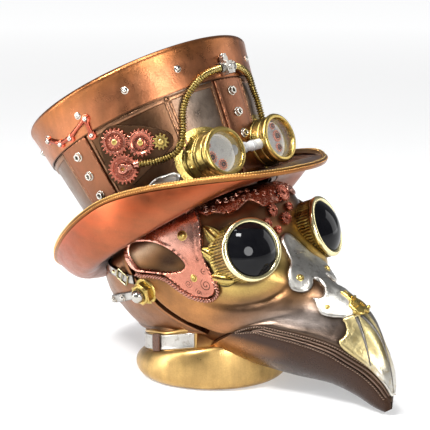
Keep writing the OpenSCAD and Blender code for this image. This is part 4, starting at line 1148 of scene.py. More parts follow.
BROW_LOW = [(-42, -12), (-36.5, -12.6), (-31, -15), (-25, -15.6), (-18.5, -14), (-14, -13), (-10, -15),
            (-6, -17.6), (0, -18.2)]
# Place, radius and teeth of the cogs between the eyes
BROW_COGS = ((9, -14.2, 4.2, 16), (-1.5, -20.4, 2.9, 12), (-7.4, -25.2, 2.6, 11), (4.4, -25.4, 3.0, 12),
             (9.6, -20.6, 2.2, 10), (-2, -29.6, 2.0, 9))


def build_brow():
    low = BROW_LOW + mirrored(BROW_LOW)[-2::-1]
    lace = outline([(-43, -7)] + low + [(43, -7), (20, -7), (0, -7), (-20, -7)], 0.4)
    points, faces = plate(skin, [lace], 0.8, 0.4, 0.7, lift=0.2,
                          shape=lambda far, a, b: 0.35 * hill(far, 0.6, 0.3))
    soup = Soup().add(points, faces, paint=(0.4, 0.3, 0.26))
    for a in range(-40, 41, 4):
        edge = np.interp(a, *np.transpose(low))
        flip = 1 if a % 8 else -1
        soup.add(*scroll(a, edge + 2.2, 1.9, 1.6, a * 7, flip, 0.95, 0.42), paint=(1.2, 1.22, 1.2))
        if edge < -13:
            soup.add(*scroll(a + 1.5, edge + 5.6, 1.7, 1.5, a * 11, -flip, 0.95, 0.4),
                     paint=(1.15, 1.1, 1.06))
    make("brow_lace", soup, "bust", M_FINE_COPPER, ["brow_trim"])
    touch(skin(*curve(low, 0.4).T))
    gears = Soup()
    for a, b, r, n in BROW_COGS:
        place = stand_on(skin, a, b, 1.3 if r > 3 else 0.5, a * 5)
        gears.add(*gear_solid(n, 2 * r / (n + 1.6), 0.9, r * 0.22), place, (0.85, 0.7, 0.64))
        for share in (0.3, 0.62, 0.86):
            gears.add(*ring_at(r * share, r * 0.1, 0.9, 0.3, 28), place, (0.95, 0.8, 0.76))
    make("brow_cogs", gears, "bust", M_GEARS, ["brow_gears"], bevel=0.08)


BOSS_TH, BOSS_Z = 97.0, -29.0
TEMPLE_LINE = ((97.8, -21.8), (104, -18), (112, -12.6), (122, -8.6), (128, -7.4))
NUT_CAP = [(0, 3.2), (4.9, 3.2), (4.7, 3.9), (3.6, 4.2), (3.4, 3.7), (0, 3.7)]
NUT_SEAT = [(0, -1.2), (6.6, -1.2), (6.5, -0.2), (6.0, 0.2), (0, 0.2)]


def nape_z(th):
    """Height of the nape band at one direction."""
    return -20 - 8 * ((th - 180) / 76)**2


def strap_along(line, width, thick=0.7, lift=0.15):
    """A flat strap with raised edges along a line on the head."""
    way = curve(line, 0.6)
    mid = bare(*way.T, lift)
    up = head_normal(*way.T)
    side = unit(np.cross(up, np.gradient(mid, axis=0)))
    cut = [(-1, -0.3), (-1, 0.7), (-0.86, 1.0), (-0.7, 0.8), (0, 0.92), (0.7, 0.8), (0.86, 1.0), (1, 0.7),
           (1, -0.3)]
    p = np.stack([mid + s * width / 2 * side + h * thick * up for s, h in cut], 1)
    n = len(cut)
    faces = grid_faces(len(p), n, wrap=True) + end_faces(len(p), n)
    return p.reshape(-1, 3), faces


def frame_loop(w, h, r):
    """A rectangular buckle frame of round wire."""
    corner = [(x, y) for cx, cy, a in ((w, h, 0), (-w, h, 90), (-w, -h, 180), (w, -h, 270))
              for x, y in arc((cx, cy), r * 1.4, a, a + 90, 5)]
    return tube(np.column_stack([np.array(corner), np.zeros(len(corner))]), r, 8, closed=True)


def build_straps():
    straps, buckles, bosses, screws, nape, studs = (Soup() for _ in range(6))
    ball = [(0, 3.4), (2.5, 3.4), (2.8, 3.9)] + arc((0, 4.9), 3.2, -12, 88, 14) + [(0, 8.1)]
    for side in SIDES:
        straps.add(*strap_along([(side * a, b) for a, b in TEMPLE_LINE], 4.6, lift=0.5))
        place = stand_on(bare, side * 104, -17.8, 1.2, -side * 32)
        buckles.add(*frame_loop(2.0, 2.9, 0.5), place)
        buckles.add(*tube([(-2.6, 0, 0.1), (-1, 0, 0.7), (2.4, 0, 0.3)], 0.35, 6), place)
        buckles.add(*rivet(0.9, 0.7), stand_on(bare, side * 110.5, -13.4, 1.2))
        boss = stand_on(bare, side * BOSS_TH, BOSS_Z, 0.4)
        bosses.add(*prism(6, 5.6, 3.4), boss)
        bosses.add(*lathe(NUT_CAP, 40), boss)
        bosses.add(*lathe(NUT_SEAT, 40), boss)
        screws.add(*lathe(ball, 36), boss)
    nape.add(*strap_along([(th, nape_z(th)) for th in range(103, 258, 7)], 4.2, lift=0.5))
    for th in (118, 136, 224, 242):
        studs.add(*rivet(1.5, 1.2, 1.9), stand_on(bare, th, nape_z(th), 1.3))
    make("temple_straps", straps, "bust", M_SILVER, ["side_straps"])
    make("temple_buckles", buckles, "bust", M_RIM, ["side_buckles"])
    make("ear_nuts", bosses, "bust", M_BRASS, ["ear_bosses"], bevel=0.3)
    make("ear_ball_screws", screws, "bust", M_STEEL, ["ear_screws"])
    make("nape_band", nape, "bust", M_SILVER, ["nape_strap"])
    make("nape_rivets", studs, "bust", M_STEEL, ["nape_studs"])


# ---- Gears ---------------------------------------------------------------------------------------
def gear_loop(n, m):
    """The toothed outline, with a tooth on +X, as on the CAD gears."""
    root, tip = m * (n / 2 - 1.1), m * (n / 2 + 0.75)
    cut = ((root, -0.27), (tip, -0.11), (tip, 0.11), (root, 0.27))
    return np.array([(r * math.cos(t), r * math.sin(t)) for i in range(n) for r, share in cut
                     for t in [2 * math.pi * (i + share) / n]])


def gear_solid(n, m, thick, bore):
    return extrude([gear_loop(n, m), circle(bore, 16)], 0, thick)


GEAR_M, GEAR_T, TEETH_A, TEETH_C, TEETH_P = 0.6, 1.6, 20, 22, 11
PITCH_A, PITCH_C, PITCH_P = (GEAR_M * n / 2 for n in (TEETH_A, TEETH_C, TEETH_P))
TRAIN_AZ, TRAIN_Z = -58.0, 29.0
DIR_B, DIR_C, DIR_P = -27.0, -97.5, -22.5
TURN_B = 180 + DIR_B + 180 / TEETH_A
TURN_C = 180 + DIR_C + 180 / TEETH_C - (DIR_B - DIR_C) * TEETH_A / TEETH_C
TURN_P = 180 + DIR_P + 180 / TEETH_P - (TURN_B - DIR_P) * TEETH_A / TEETH_P
GEAR_Z, GEAR_BORE = 1.2, 0.86
GEAR_PIN = [(0, 0.3), (0.8, 0.3), (0.8, 3.0), (1.25, 3.0), (1.25, 3.2), (0.95, 3.42), (0, 3.42)]


def polar(degrees, r):
    return np.array([math.cos(math.radians(degrees)) * r, math.sin(math.radians(degrees)) * r])


PLACE_A = np.array([-7.5, 6.5])
PLACE_B = PLACE_A + polar(DIR_B, 2 * PITCH_A)
PLACE_C = PLACE_A + polar(DIR_C, PITCH_A + PITCH_C)
PLACE_P = PLACE_B + polar(DIR_P, PITCH_A + PITCH_P)


def on_crown(az, z, d=0.0):
    return placed(turn("z", az) @ turn("x", 90 + FLARE), round_axis(az, crown_r(z), z)) @ moved(z=d)


def on_train(p, d=0.0, spin=0.0):
    return on_crown(TRAIN_AZ, TRAIN_Z, d) @ moved(*p, spin=spin)


def ring_at(r, w, z, h, n=40):
    """A low ring of radius r and width w that stands h above z."""
    return lathe([(r - w / 2, z - 0.2), (r - w / 2, z + h * 0.6), (r, z + h), (r + w / 2, z + h * 0.6),
                  (r + w / 2, z - 0.2)], n)


def build_gears():
    t = GEAR_T
    warm, web = (0.95, 0.72, 0.66), (0.55, 0.36, 0.32)
    a, b, c, p = (Soup() for _ in range(4))
    at = on_train(PLACE_A, GEAR_Z, DIR_B)
    hub = [(0.87, 0.5), (1.45, 0.5), (1.45, t + 0.3), (1.15, t + 0.45), (0.87, t + 0.3)]
    a.add(*extrude([gear_loop(TEETH_A, GEAR_M), circle(4.3, 40)], 0, t), at, warm)
    a.add(*extrude([circle(4.4, 40), circle(GEAR_BORE, 16)], 0, t * 0.55), at, web)
    a.add(*ring_at(4.55, 0.5, t, 0.25), at)
    a.add(*extrude([gear_loop(16, 0.36), circle(1.3, 20)], t * 0.5, t + 0.15), at, (1.0, 0.8, 0.74))
    a.add(*lathe(hub, 24, closed=True), at)
    at = on_train(PLACE_B, GEAR_Z, TURN_B)
    dish = [(4.8, 0), (4.8, t * 0.8), (3.9, t * 0.45), (2.2, t * 0.45), (1.5, t * 0.7), (1.4, t + 0.3),
            (0.87, t + 0.3), (0.87, 0)]
    b.add(*extrude([gear_loop(TEETH_A, GEAR_M), circle(4.7, 40)], 0, t), at, (1.0, 0.78, 0.72))
    b.add(*lathe(dish, 48, closed=True), at, (0.85, 0.6, 0.54))
    for k in range(12):
        b.add(*prism(4, 0.32, t * 0.62), at @ moved(spin=30 * k) @ moved(3.1), web)
    b.add(*ring_at(4.8, 0.45, t, 0.25), at)
    at = on_train(PLACE_C, GEAR_Z, TURN_C)
    steps = [(5.1, 0), (5.1, t * 0.6), (3.6, t * 0.6), (3.5, t), (2.9, t), (2.8, t * 0.6), (1.9, t * 0.6),
             (1.8, t + 0.1), (0.87, t + 0.1), (0.87, 0)]
    c.add(*extrude([gear_loop(TEETH_C, GEAR_M), circle(5.0, 40)], 0, t), at, warm)
    c.add(*lathe(steps, 48, closed=True), at, (0.72, 0.5, 0.45))
    for k in range(5):
        c.add(*prism(20, 0.42, t * 0.85), at @ moved(*polar(72 * k + 20, 4.3)))
    at = on_train(PLACE_P, GEAR_Z, TURN_P)
    p.add(*extrude([gear_loop(TEETH_P, GEAR_M), circle(GEAR_BORE, 16)], 0, t), at)
    p.add(*ring_at(1.7, 0.4, t, 0.3, 28), at)
    for name, soup, body, slot, material in (("cog_upper", a, "gear_a", "gear_copper", M_GEARS),
                                             ("cog_middle", b, "gear_b", "gear_copper", M_GEARS),
                                             ("cog_lower", c, "gear_c", "gear_copper", M_GEARS),
                                             ("cog_pinion", p, "gear_pinion", "pinion_brass", M_BRASS)):
        # Each gear's body has the name of the CAD node that it replaces
        make(name, soup, body, material, [body], bevel=0.1)
    pins = Soup()
    for q in (PLACE_A, PLACE_B, PLACE_C, PLACE_P):
        pins.add(*lathe(GEAR_PIN, 24), on_train(q))
    make("gear_pins", pins, "hat", M_BRASS, ["gear_axles"])


def build_gear_plate():
    train = ((PLACE_A, PITCH_A), (PLACE_B, PITCH_A), (PLACE_P, PITCH_P), (PLACE_C, PITCH_C))
    rims = np.concatenate([circle(r + 1.5, 48, *q) for q, r in train])
    soup = Soup().add(*extrude([hull_of(rims)], -5.5, 1.0), on_train((0, 0)), srgb(92, 66, 48))
    make("gear_bridge", soup, "hat", M_CROWN, ["gear_plate"], bevel=0.3)


def hull_of(points):
    """Outline of the smallest convex shape round flat points."""
    p = sorted(map(tuple, np.round(points, 6)))

    def chain(seq):
        out = []
        for q in seq:
            while len(out) > 1 and ((out[-1][0] - out[-2][0]) * (q[1] - out[-2][1])
                                    - (out[-1][1] - out[-2][1]) * (q[0] - out[-2][0])) <= 0:
                out.pop()
            out.append(q)
        return out[:-1]
    return np.array(chain(p) + chain(p[::-1]))


# ---- Hat -----------------------------------------------------------------------------------------
BAND_LOW = CROWN_H - BAND_W
CROWN_LOW, WALL, BAND_RIVETS = -2.0, 2.4, 13


def crown_paint(az, z):
    az = (az + 180) % 360 - 180
    c = np.broadcast_to(PATINA, az.shape + (3,))
    # Bands of painted highlight down the crown
    light = 0.9 * hill(az, -17, 11) + 0.8 * hill(az, 32, 12) + 0.25 * hill(az, -128, 20) + 0.4 * hill(az, 140,
                                                                                                      24)
    c = layers(c, (srgb(190, 172, 156), np.clip(light, 0, 0.95)))
    c = layers(c, (DARK, 0.82 * hill(az, -58, 23) * ramp(z, 44, 38)))
    # Darker at the foot, just above the brim: painted shade
    return layers(c, (DARK, 0.7 * ramp(z, 5, -1)))


def shell_faces(rows, columns):
    """Faces of a ring-shaped wall whose outer rows are followed by its inner ones."""
    return grid_faces(2 * rows, columns, wrap=True, closed=True)


def build_crown():
    az, z = np.meshgrid(np.linspace(0, 360, 220, endpoint=False), np.linspace(CROWN_LOW, CROWN_H - 3, 60))
    p = np.stack([crown(az, z), crown(az, z[::-1], -WALL)])
    colour = crown_paint(az, z).reshape(-1, 3)
    # The inner wall takes the outer paint at 0.6: a painted shade copy
    soup = Soup().add(p, shell_faces(*az.shape), paint=np.concatenate([colour, 0.6 * colour]))
    make("crown_shell", soup, "hat", M_CROWN, ["hat_crown"])


PANELS = ((-80.5, -34), (-33, -6), (17.5, 84), (107, 168.5), (-168.5, -103.5))
PANEL_LOW, PANEL_HIGH = 1.5, BAND_LOW - 0.6


def build_crown_panels():
    """Raised frames round the crown's panels, each with a wide upper bar, and two rivets."""
    soup = Soup()
    tone = srgb(156, 114, 86)
    for first, last in PANELS:
        loops = [box_outline(first, last, PANEL_LOW, PANEL_HIGH, 160),
                 box_outline(first + 1.5, last - 1.5, PANEL_LOW + 1.3, PANEL_HIGH - 2.2, 160)]
        soup.add(*plate(crown, loops, 0.6, 0.35, 0.9, radius=48.0, sunk=0.4), paint=tone)
    for z in (29.0, 43.0):
        soup.add(*rivet(1.0, 0.9, 1.5), on_crown(-33.6, z, 0.4), paint=tone)
    make("crown_frames", soup, "hat", M_CROWN)


def build_band():
    r, low, top, high = crown_r, BAND_LOW, CROWN_TOP_R, CROWN_H
    outer = curve([(r(low) + 1.1, low), (r(low) + 1.35, low + 0.5), (r(low + 8) + 1.3, low + 8),
                   (r(low + 15) + 1.45, low + 15), (top + 1.25, high - 2.4), (top + 1.2, high - 1.2),
                   (top + 0.5, high - 0.25), (top - 0.5, high), (top - 1.2, high - 0.5)], 0.35)
    profile = [*map(tuple, outer), (top - 1.2, high - 1.4), (r(low) + 0.05, low)]
    points, faces = lathe(profile, 240, closed=True)
    z = np.array(points)[:, 2]
    tone = layers(srgb(186, 118, 80), (srgb(178, 110, 64), ramp(z, low + 8, high - 2)),
                  (DARK, 0.8 * ramp(z, low + 0.45, low + 0.1)))
    make("top_band", Soup().add(points, faces, paint=tone), "hat", M_HAT, ["hat_band"])
    edge = r(high - 2.2)
    lid = [(0, high - 2.2), (edge - 0.4, high - 2.2), (edge - 0.2, high - 0.9), (edge - 3, high - 0.75),
           (edge - 3.4, high - 1.1), (edge - 4, high - 0.75), (20, high - 0.5), (0, high - 0.45)]
    soup = Soup().add(*lathe(lid, 180), paint=srgb(176, 112, 72))
    make("hat_lid", soup, "hat", M_HAT, ["hat_top"])
    rivets = Soup()
    for k in range(BAND_RIVETS):
        rivets.add(*rivet(1.25, 0.9, 1.65), on_crown(4.7 + 360 * k / BAND_RIVETS, 54, 1.35))
    make("band_studs", rivets, "hat", M_STEEL, ["band_rivets"])


STRAPS, STRAP_HALF = (5.5, -92, 95.5, 180), 10.5
NUT_HEIGHTS = (18.5, 28.5, 38.5)


def build_hat_straps():
    soup, nuts, studs, washers = (Soup() for _ in range(4))
    for az in STRAPS:
        loop = box_outline(az - STRAP_HALF, az + STRAP_HALF, 0.3, BAND_LOW - 0.15, 200)
        points, faces = plate(crown, [loop], 1.0, 0.35, 0.9, radius=47.0, sunk=0.3,
                              shape=lambda far, a, b: 0.22 * hill(far, 0.7, 0.35) - 0.2 * hill(far, 1.5, 0.3))
        # Darker towards the bottom: painted shade
        soup.add(points, faces, paint=layers(srgb(144, 92, 66),
                                             (srgb(112, 70, 50), ramp(points[:, 2], 30, 6))))
        for z in NUT_HEIGHTS:
            place = on_crown(az, z, 0.95)
            washers.add(*lathe([(0.8, 0), (2.3, 0), (2.2, 0.25), (0.8, 0.3)], 28, closed=True), place)
            nuts.add(*prism(6, 1.95, 1.5, 0.95), place @ moved(spin=15))
            studs.add(*lathe([(0, 0), (0.86, 0), (0.86, 0.8), (0.6, 1.0), (0.55, 0.75), (0, 0.7)], 20), place)
    make("crown_straps", soup, "hat", M_HAT, ["hat_straps"])
    make("crown_nuts", nuts.merge(washers), "hat", M_STEEL, ["strap_nuts"], bevel=0.15)
    make("crown_studs", studs, "hat", M_STEEL, ["strap_studs"])


def build_brim():
    az, t = np.meshgrid(np.linspace(0, -360, 260, endpoint=False), np.linspace(0, BRIM_END, 34))
    groove = 0.14 * hill(t, 0.86, 0.012)
    p = np.stack([brim(az, t, BRIM_T / 2 - groove), brim(az, t[::-1], -BRIM_T / 2)])
    # Both faces are darker near the crown: painted shade
    above = layers(srgb(134, 104, 90), (RUSSET, 0.6 * ramp(t, 0.75, 0.93)), (DARK, 0.75 * ramp(t, 0.12, 0.0)))
    under = layers(srgb(166, 92, 62), (srgb(170, 78, 42), 0.75 * ramp(t[::-1], 0.55, 0.9)),
                   (srgb(120, 70, 44), 0.8 * ramp(t[::-1], 0.4, 0.05)))
    soup = Soup().add(p, shell_faces(*az.shape), paint=np.stack([above, under]).reshape(-1, 3))
    make("brim", soup, "hat", M_BRIM, ["hat_brim"], crease=80)


SEAMS = ((50, srgb(240, 206, 132)), (100, srgb(226, 178, 104)), (-8, srgb(226, 170, 96)))


def build_binding():
    az = np.linspace(0, -360, 620, endpoint=False)
    mid = binding_middle(az)
    path = round_axis(az, mid[:, 0], mid[:, 1])
    out, up = unit(round_axis(az, 1 + 0 * az, 0 * az)), np.array([0, 0, 1.0])
    rows, columns = len(az), 16
    t = np.linspace(0, 2 * np.pi, columns, endpoint=False)
    wide = BINDING_R * (1 - 0.1 * np.abs(np.sin(2 * t)))
    ring = (path[:, None] + (wide * np.cos(t))[None, :, None] * out[:, None]
            + (wide * np.sin(t))[None, :, None] * up)
    shade = layers(srgb(206, 148, 80), (srgb(150, 84, 44), 0.8 * hill(np.sin(t), -0.6, 0.5)))
    faces = grid_faces(rows, columns, wrap=True, closed=True, flip=True)
    soup = Soup().add(ring, faces, paint=np.tile(shade, (rows, 1)))
    for angle, tone in SEAMS:
        lean = math.cos(math.radians(angle)) * out + math.sin(math.radians(angle)) * up
        row = path + BINDING_R * 0.93 * lean
        hints = np.concatenate([lean, out[:1]])
        soup.merge(beads(np.concatenate([row, row[:1]]), hints, 1.3, 1.05, 0.42, 0.3, 12), tone)
    make("brim_edge", soup, "hat", M_BINDING, ["brim_binding"])


# ---- Hose, clamp and chain -----------------------------------------------------------------------
HOSE = ((-61.5, 21.6, 5.3), (-57, 20.4, 5), (-52, 19.3, 3.9), (-46, 18.9, 2.4), (-40, 19.4, 2),
        (-35.5, 22, 2),
        (-32.5, 26.5, 2), (-30.3, 31, 2), (-28.3, 35.2, 2.1), (-24.7, 39.7, 2.7), (-20, 43.3, 3.5),
        (-13.6, 46.4, 3.5),
        (-7, 48, 3.5), (3.4, 48.6, 3.5), (12, 48, 3.5), (18, 46, 3.5), (22.3, 42.8, 3.3), (25.8, 37.7, 2.4),
        (27.6, 33, 2.4), (27.2, 28.2, 2.6), (26.9, 25.2, 2.7), (26.8, 22.5, 2.8))
HOSE_R, HOSE_STEP, CORRUGATION = 1.7, 0.13, 1.25
CLAMP = (3.4, 48.6, 3.5)
CHAIN = ((-97.6, 48), (-89, 47.4), (-106, 53), (-74.9, 51), (-76.6, 43.3))
CHAIN_LINKS = ((0, 1), (0, 2), (1, 3), (3, 4))
CHAIN_PAINT = (0.9, 0.46, 0.37)


def build_hose():
    path = curve([crown(a, z, d) for a, z, d in HOSE], HOSE_STEP)
    wave = 0.5 + 0.5 * np.cos(2 * np.pi * np.arange(len(path)) * HOSE_STEP / CORRUGATION)
    shade = layers(np.ones(3), (DARK, 0.85 * (1 - wave)**2))
    soup = Soup().add(*tube(path, HOSE_R - 0.6 + 0.6 * wave**0.8, 22), paint=np.repeat(shade, 22, axis=0))
    make("corrugated_hose", soup, "hat", M_HOSE, ["hose"])
    eye, at = Soup(), on_train(PLACE_C, 3.5)
    eye.add(*tube(path[:16], 2.0, 24))
    eye.add(*tube(path[13:19], 2.3, 24))
    eye.add(*extrude([circle(2.2, 32), circle(1.0, 20)], 0, 1.0), at)
    eye.add(*lathe([(1.0, 0.9), (2.3, 0.9), (2.1, 1.35), (1.0, 1.4)], 32, closed=True), at)
    tail = hull_of(np.concatenate([circle(1.8, 24), circle(1.1, 16, 3.6, -0.8)]))
    eye.add(*extrude([tail, circle(1.0, 20)], 0, 1.0), at)
    make("hose_fittings", eye, "hat", M_GEARS, ["hose_banjo"], bevel=0.1)
    build_clip(path)


def build_clip(path):
    """The silver clip that holds the hose, with a block and a bolt head in its middle."""
    silver = Soup()
    near = np.argmin(np.linalg.norm(path - crown(*CLAMP), axis=1))
    reach = int(4.6 / HOSE_STEP)
    for first, last in ((near - reach, near - 8), (near + 8, near + reach)):
        silver.add(*tube(path[first:last], 2.25, 28))
    for k in (near - reach, near - 8, near + 4, near + reach - 6):
        silver.add(*tube(path[k:k + 8], 2.6, 28))
    at = on_crown(*CLAMP)
    block = [(-1.9, -3.0), (1.9, -3.0), (2.1, -2.6), (2.1, 2.6), (1.9, 3.0), (-1.9, 3.0), (-2.1, 2.6),
             (-2.1, -2.6)]
    ear = [(-1.5, 2.8), (1.5, 2.8), (1.5, 5.2), (0.8, 6.0), (-0.8, 6.0), (-1.5, 5.2)]
    silver.add(*extrude([block], -1.8, 2.7), at)
    silver.add(*extrude([ear], -1.4, 1.2), at)
    silver.add(*lathe([(0, 2.5), (1.3, 2.5), (1.3, 3.1), (1.0, 3.5), (0, 3.6)], 24), at)
    silver.add(*prism(6, 1.6, 0.9), at @ placed(turn("x", -90), (0, 5.8, 0)))
    make("hose_clip", silver, "hat", M_SILVER, ["hose_clamp"], bevel=0.2)


def build_chain():
    links, balls = Soup(), Soup()
    on_band = [z > BAND_LOW for a, z in CHAIN]
    stops = [crown(a, z, 1.55 if high else 0.9) for (a, z), high in zip(CHAIN, on_band)]
    share = np.linspace(0, 1, 12)
    for i, j in CHAIN_LINKS:
        p, q = stops[i], stops[j]
        out = unit((p + q) * (1, 1, 0))
        line = p + (q - p) * share[:, None] + out * 0.6 * np.sin(np.pi * share[:, None])
        thick = 0.9 + 0.35 * np.abs(np.cos(np.pi * share))
        links.add(*tube(line, thick, 14, out, flat=0.7), paint=CHAIN_PAINT)
    seat = [(0, -0.8), (2.0, -0.8), (2.0, 0.7), (1.5, 1.0), (0, 1.0)]
    for (a, z), high in zip(CHAIN, on_band):
        place = on_crown(a, z, 1.3 if high else 0.6)
        links.add(*lathe(seat, 28), place, CHAIN_PAINT)
        balls.add(*lathe([(0, 0.4)] + arc((0, 1.0), 1.25, -20, 89, 9) + [(0, 2.25)], 28), place)
    make("valve_links", links, "hat", M_GEARS)
    make("valve_balls", balls, "hat", M_STEEL)


# ---- Goggles -------------------------------------------------------------------------------------
GOGGLE_X, GOGGLE_Y, GOGGLE_Z, GOGGLE_R = 18.6, -54.1, 10.4, 11.2
GOGGLE_SPLAY, GOGGLE_DIP, GOGGLE_BACK, GOGGLE_LEN, BEZEL = 6.0, 10.0, 12.6, 22.0, 2.2
CUP_GROOVES, CUP_STUD_Z = (-4.3, -8.4, -9.9, -15.0), -12.4
# Place, radius and teeth of the small gears inside each cup
CUP_GEARS = {-1: ((-4.6, -0.8, 2.9, 14), (0.2, -5.1, 2.6, 12), (-5, 5, 1.8, 9)),
             1: ((4.4, 1.5, 2.8, 14), (3, 6.4, 1.7, 9), (3.6, -3.9, 2.1, 10))}


def goggle_frame(side):
    return placed(turn("z", side * GOGGLE_SPLAY) @ turn("x", 90 + GOGGLE_DIP),
                  (side * GOGGLE_X, GOGGLE_Y, GOGGLE_Z))


def cup_r(z):
    return GOGGLE_R - 0.6 + (GOGGLE_BACK - GOGGLE_R + 0.6) * (-BEZEL - z) / (GOGGLE_LEN - BEZEL)


def add_cup(cups, place):
    """One cup and its studs; its back follows the crown so that it never reaches through the wall."""
    z = np.linspace(-GOGGLE_LEN, -BEZEL, 90)
    groove = sum(hill(z, g, 0.28) for g in CUP_GROOVES)
    profile = [(float(cup_r(q) - 0.45 * min(g, 1)), float(q)) for q, g in zip(z, groove)]
    pocket = [(GOGGLE_R - 2.1, -BEZEL), (GOGGLE_R - 2.1, -BEZEL - 4.6), (0, -BEZEL - 4.6)]
    points, faces = lathe([(0, -GOGGLE_LEN)] + profile + pocket, 128)
    points = np.array(points)
    world = points @ place[:3, :3].T + place[:3, 3]
    wall = crown_r(world[:, 2]) + 0.3
    r = np.linalg.norm(world[:, :2], axis=1)
    push = np.where((r < wall) & (points[:, 2] < -BEZEL - 5), wall / np.maximum(r, 1e-6), 1.0)
    world[:, :2] *= push[:, None]
    # Dark paint in the cup's outer grooves: painted shade
    grooved = np.clip(sum(hill(points[:, 2], g, 0.35) for g in CUP_GROOVES), 0, 1)
    outside = np.hypot(points[:, 0], points[:, 1]) > GOGGLE_R - 1.6
    cups.add(world, faces, paint=layers(np.ones(3), (DARK, 0.8 * grooved * outside)))
    for k in range(10):
        stud = moved(spin=36 * k + 12) @ placed(turn("y", 90), (cup_r(CUP_STUD_Z), 0, CUP_STUD_Z))
        cups.add(*rivet(0.85, 0.7, 1.25), place @ stud)


def add_cup_cogs(cogs, place, side):
    for x, y, r, n in CUP_GEARS[side]:
        at = place @ moved(x, y, -BEZEL - 3.4, 17 * x)
        hub = [(0.5, 0.7), (0.5, 1.1), (r * 0.45, 1.1), (r * 0.5, 0.7)]
        cogs.add(*gear_solid(n, 2 * r / (n + 1.6), 0.8, 0.5), at, (1.0, 0.78, 0.7))
        cogs.add(*lathe(hub, 24, closed=True), at, (0.5, 0.28, 0.24))
        cogs.add(*ring_at(r * 0.66, 0.3, 0.8, 0.2, 28), at, (1.0, 0.75, 0.68))


def build_goggles():
    cups, bezels, lenses, cogs, mirrors = (Soup() for _ in range(5))
    r, glass_r = GOGGLE_R, GOGGLE_R - 2.25
    rim = [(r - 2.2, -BEZEL), (r - 0.1, -BEZEL), (r + 0.3, -1.6), (r + 0.4, -1.0), (r + 0.1, -0.3),
           (r - 0.4, 0.1), (r - 1.1, 0.2), (r - 1.7, 0.05), (r - 2.0, -0.4)]
    lens = [(0, 0.5 - BEZEL), (glass_r, 0.5 - BEZEL), (glass_r, 0.9 - BEZEL)]
    lens += [(glass_r * math.cos(q), 0.9 - BEZEL + 0.7 * math.sin(q))
             for q in np.linspace(0.1, math.pi / 2, 12)[:-1]] + [(0, 1.6 - BEZEL)]
    mirror = [(0, -BEZEL - 4.9), (r - 2.15, -BEZEL - 4.9), (r - 2.15, -BEZEL - 3.1), (r - 3.0, -BEZEL - 3.05),
              (r - 3.2, -BEZEL - 3.5), (0, -BEZEL - 3.45)]
    for side in SIDES:
        place = goggle_frame(side)
        add_cup(cups, place)
        bezels.add(*lathe(rim, 128, closed=True), place)
        lenses.add(*lathe(lens, 96), place)
        mirrors.add(*lathe(mirror, 96), place)
        add_cup_cogs(cogs, place, side)
    make("cups", cups, "hat", M_BRASS, ["goggle_cups"])
    make("bezels", bezels, "hat", M_BRASS, ["goggle_bezels"])
    make("lenses", lenses, "hat", M_CLEAR_GLASS, ["goggle_lenses"])
    make("cup_cogs", cogs, "hat", M_CUP_COGS, ["goggle_gears"])
    make("cup_mirrors", mirrors, "hat", M_DISC)


def build_goggle_bridge():
    soup = Soup()
    half, y, z = GOGGLE_X - 9, GOGGLE_Y + 4.1, GOGGLE_Z + 0.5
    x = np.linspace(-half, half, 60)
    wide = 2.3 + 0.2 * hill(np.abs(x), half, 2.5) - 0.3 * hill(x, 0, 2.4)
    soup.add(*tube([(q, y, z) for q in x], wide, 24))
    for q in (-3.6, -2.4, 2.4, 3.6):
        soup.add(*tube([(q - 0.35, y, z), (q + 0.35, y, z)], 2.5, 24))
    make("bridge", soup, "hat", M_DISC, ["goggle_bridge"])


STRAP_OPEN, BELT_LOW, BELT_HIGH = 44.0, 3.5, 10.5
LUG = ((42, 4.5), (45, 2.2), (50, 1.6), (56, 1.2), (61, 3), (62, 7), (61, 11), (56, 12.8), (50, 12.4),
       (45, 11.8), (42, 9.5), (43.5, 7))


def build_goggle_strap():
    soup = Soup()
    low, high = BELT_LOW, BELT_HIGH
    cut = [(low, 1.25), (low, 1.9), (low + 0.35, 2.2), (low + 0.9, 2.0), (low + 1.2, 1.95),
           ((low + high) / 2, 2.05), (high - 1.2, 1.95), (high - 0.9, 2.0), (high - 0.35, 2.2), (high, 1.9),
           (high, 1.25)]
    profile = [(float(crown_r(z) + d), z) for z, d in cut]
    soup.add(*lathe(profile, 200, closed=True, start=STRAP_OPEN - 90, sweep=360 - 2 * STRAP_OPEN))
    for side in SIDES:
        lug = outline([(side * a, b) for a, b in LUG], 0.4, 46)
        points, faces = plate(crown, [lug], 1.3, 0.5, 0.7, radius=46.0, lift=1.2, sunk=-1.1,
                              shape=lambda far, a, b: 0.3 * hill(far, 0.9, 0.35))
        soup.add(points, faces)
        for b in (4.3, 9.8):
            soup.add(*rivet(0.9, 0.7, 1.3), on_crown(side * 58, b, 2.5))
    make("goggle_belt", soup, "hat", M_SILVER, ["goggle_strap"])


# ---- Build ---------------------------------------------------------------------------------------
def dress(name, material):
    """Gives a carried-over CAD node its material."""
    piece = bpy.data.objects[name]
    for place in piece.material_slots:
        place.material = material
    if not piece.material_slots:
        piece.data.materials.append(material)


build_stand()
build_core()
build_hood()
build_beak_plates()
build_lips()
build_beak_fittings()
for side_of, word_of in ((-1, "right"), (1, "left")):
    build_eye(side_of, word_of)
    build_cheeks(side_of, word_of)
build_claws()
build_cheek_rivets()
build_brow()
build_straps()
build_mask()
build_jaw()
build_crown()
build_crown_panels()
build_band()
build_hat_straps()
build_brim()
build_binding()
build_gear_plate()
build_gears()
build_hose()
build_chain()
build_goggles()
build_goggle_bridge()
build_goggle_strap()
dress("felt_pad", M_FELT)
dress("neck_dowel", M_PLAIN)
dress("sweatband", M_LEATHER)


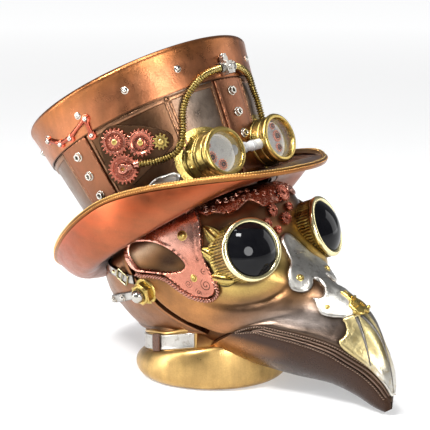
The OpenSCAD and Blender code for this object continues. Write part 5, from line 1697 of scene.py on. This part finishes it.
# ---- Floor and light -----------------------------------------------------------------------------
def build_floor():
    n = Nodes("paper")
    tone = n.mix(n.noise(3.0, 3), (0.6, 0.6, 0.6, 1), (0.63, 0.63, 0.63, 1))
    n.join(tone, n.shader.inputs["Base Color"])
    n.join(n.span(n.noise(900, 4), 0.3, 0.7, 0.75, 0.9), n.shader.inputs["Roughness"])
    n.shader.inputs["Emission Color"].default_value = (1, 1, 1, 1)
    away = n.add("ShaderNodeVectorMath", {0: n.place}, operation="LENGTH").outputs["Value"]
    n.join(n.span(away, 0.3, 1.6, 0.36, 0.8), n.shader.inputs["Emission Strength"])
    mesh = bpy.data.meshes.new("floor")
    x = 8.0
    mesh.from_pydata([(-x, -x, 0), (x, -x, 0), (x, x, 0), (-x, x, 0)], [], [(0, 1, 2, 3)])
    mesh.materials.append(n.material)
    floor = bpy.data.objects.new("floor", mesh)
    bpy.context.scene.collection.objects.link(floor)


def softbox(name, place, size, power, shape="RECTANGLE"):
    """A soft light aimed at the middle of the bust; place is to the right, up and to the front, in metres."""
    a = math.radians(VIEW_AZIMUTH)
    right, front = Vector((math.cos(a), -math.sin(a), 0)), Vector((-math.sin(a), -math.cos(a), 0))
    light = bpy.data.lights.new(name, "AREA")
    light.shape = shape
    light.size, light.size_y = size
    light.energy = power
    lamp = bpy.data.objects.new(name, light)
    bpy.context.scene.collection.objects.link(lamp)
    lamp.location = VIEW_TARGET + right * place[0] + Vector((0, 0, place[1])) + front * place[2]
    lamp.rotation_euler = (VIEW_TARGET - lamp.location).to_track_quat("-Z", "Y").to_euler()


def build_light():
    softbox("key", (-0.42, 0.55, 0.35), (0.13, 0.11), 6.5)
    softbox("strip", (-0.7, 0.12, 0.1), (0.1, 0.5), 3.0)
    softbox("front", (0.33, 0.24, 0.72), (0.36, 0.36), 4.0, "DISK")
    softbox("top", (-0.22, 0.88, -0.02), (0.32, 0.24), 3.6)
    softbox("window", (-0.05, 0.82, 0.36), (0.19, 0.15), 4.0)
    softbox("right", (0.75, 0.2, -0.3), (0.4, 0.6), 1.4)
    world = bpy.data.worlds.new("studio")
    world.use_nodes = True
    world.node_tree.nodes["Background"].inputs["Color"].default_value = (0.95, 0.97, 1.0, 1)
    world.node_tree.nodes["Background"].inputs["Strength"].default_value = 0.22
    bpy.context.scene.world = world
    bpy.context.scene.view_settings.view_transform = "Standard"


build_floor()
build_light()
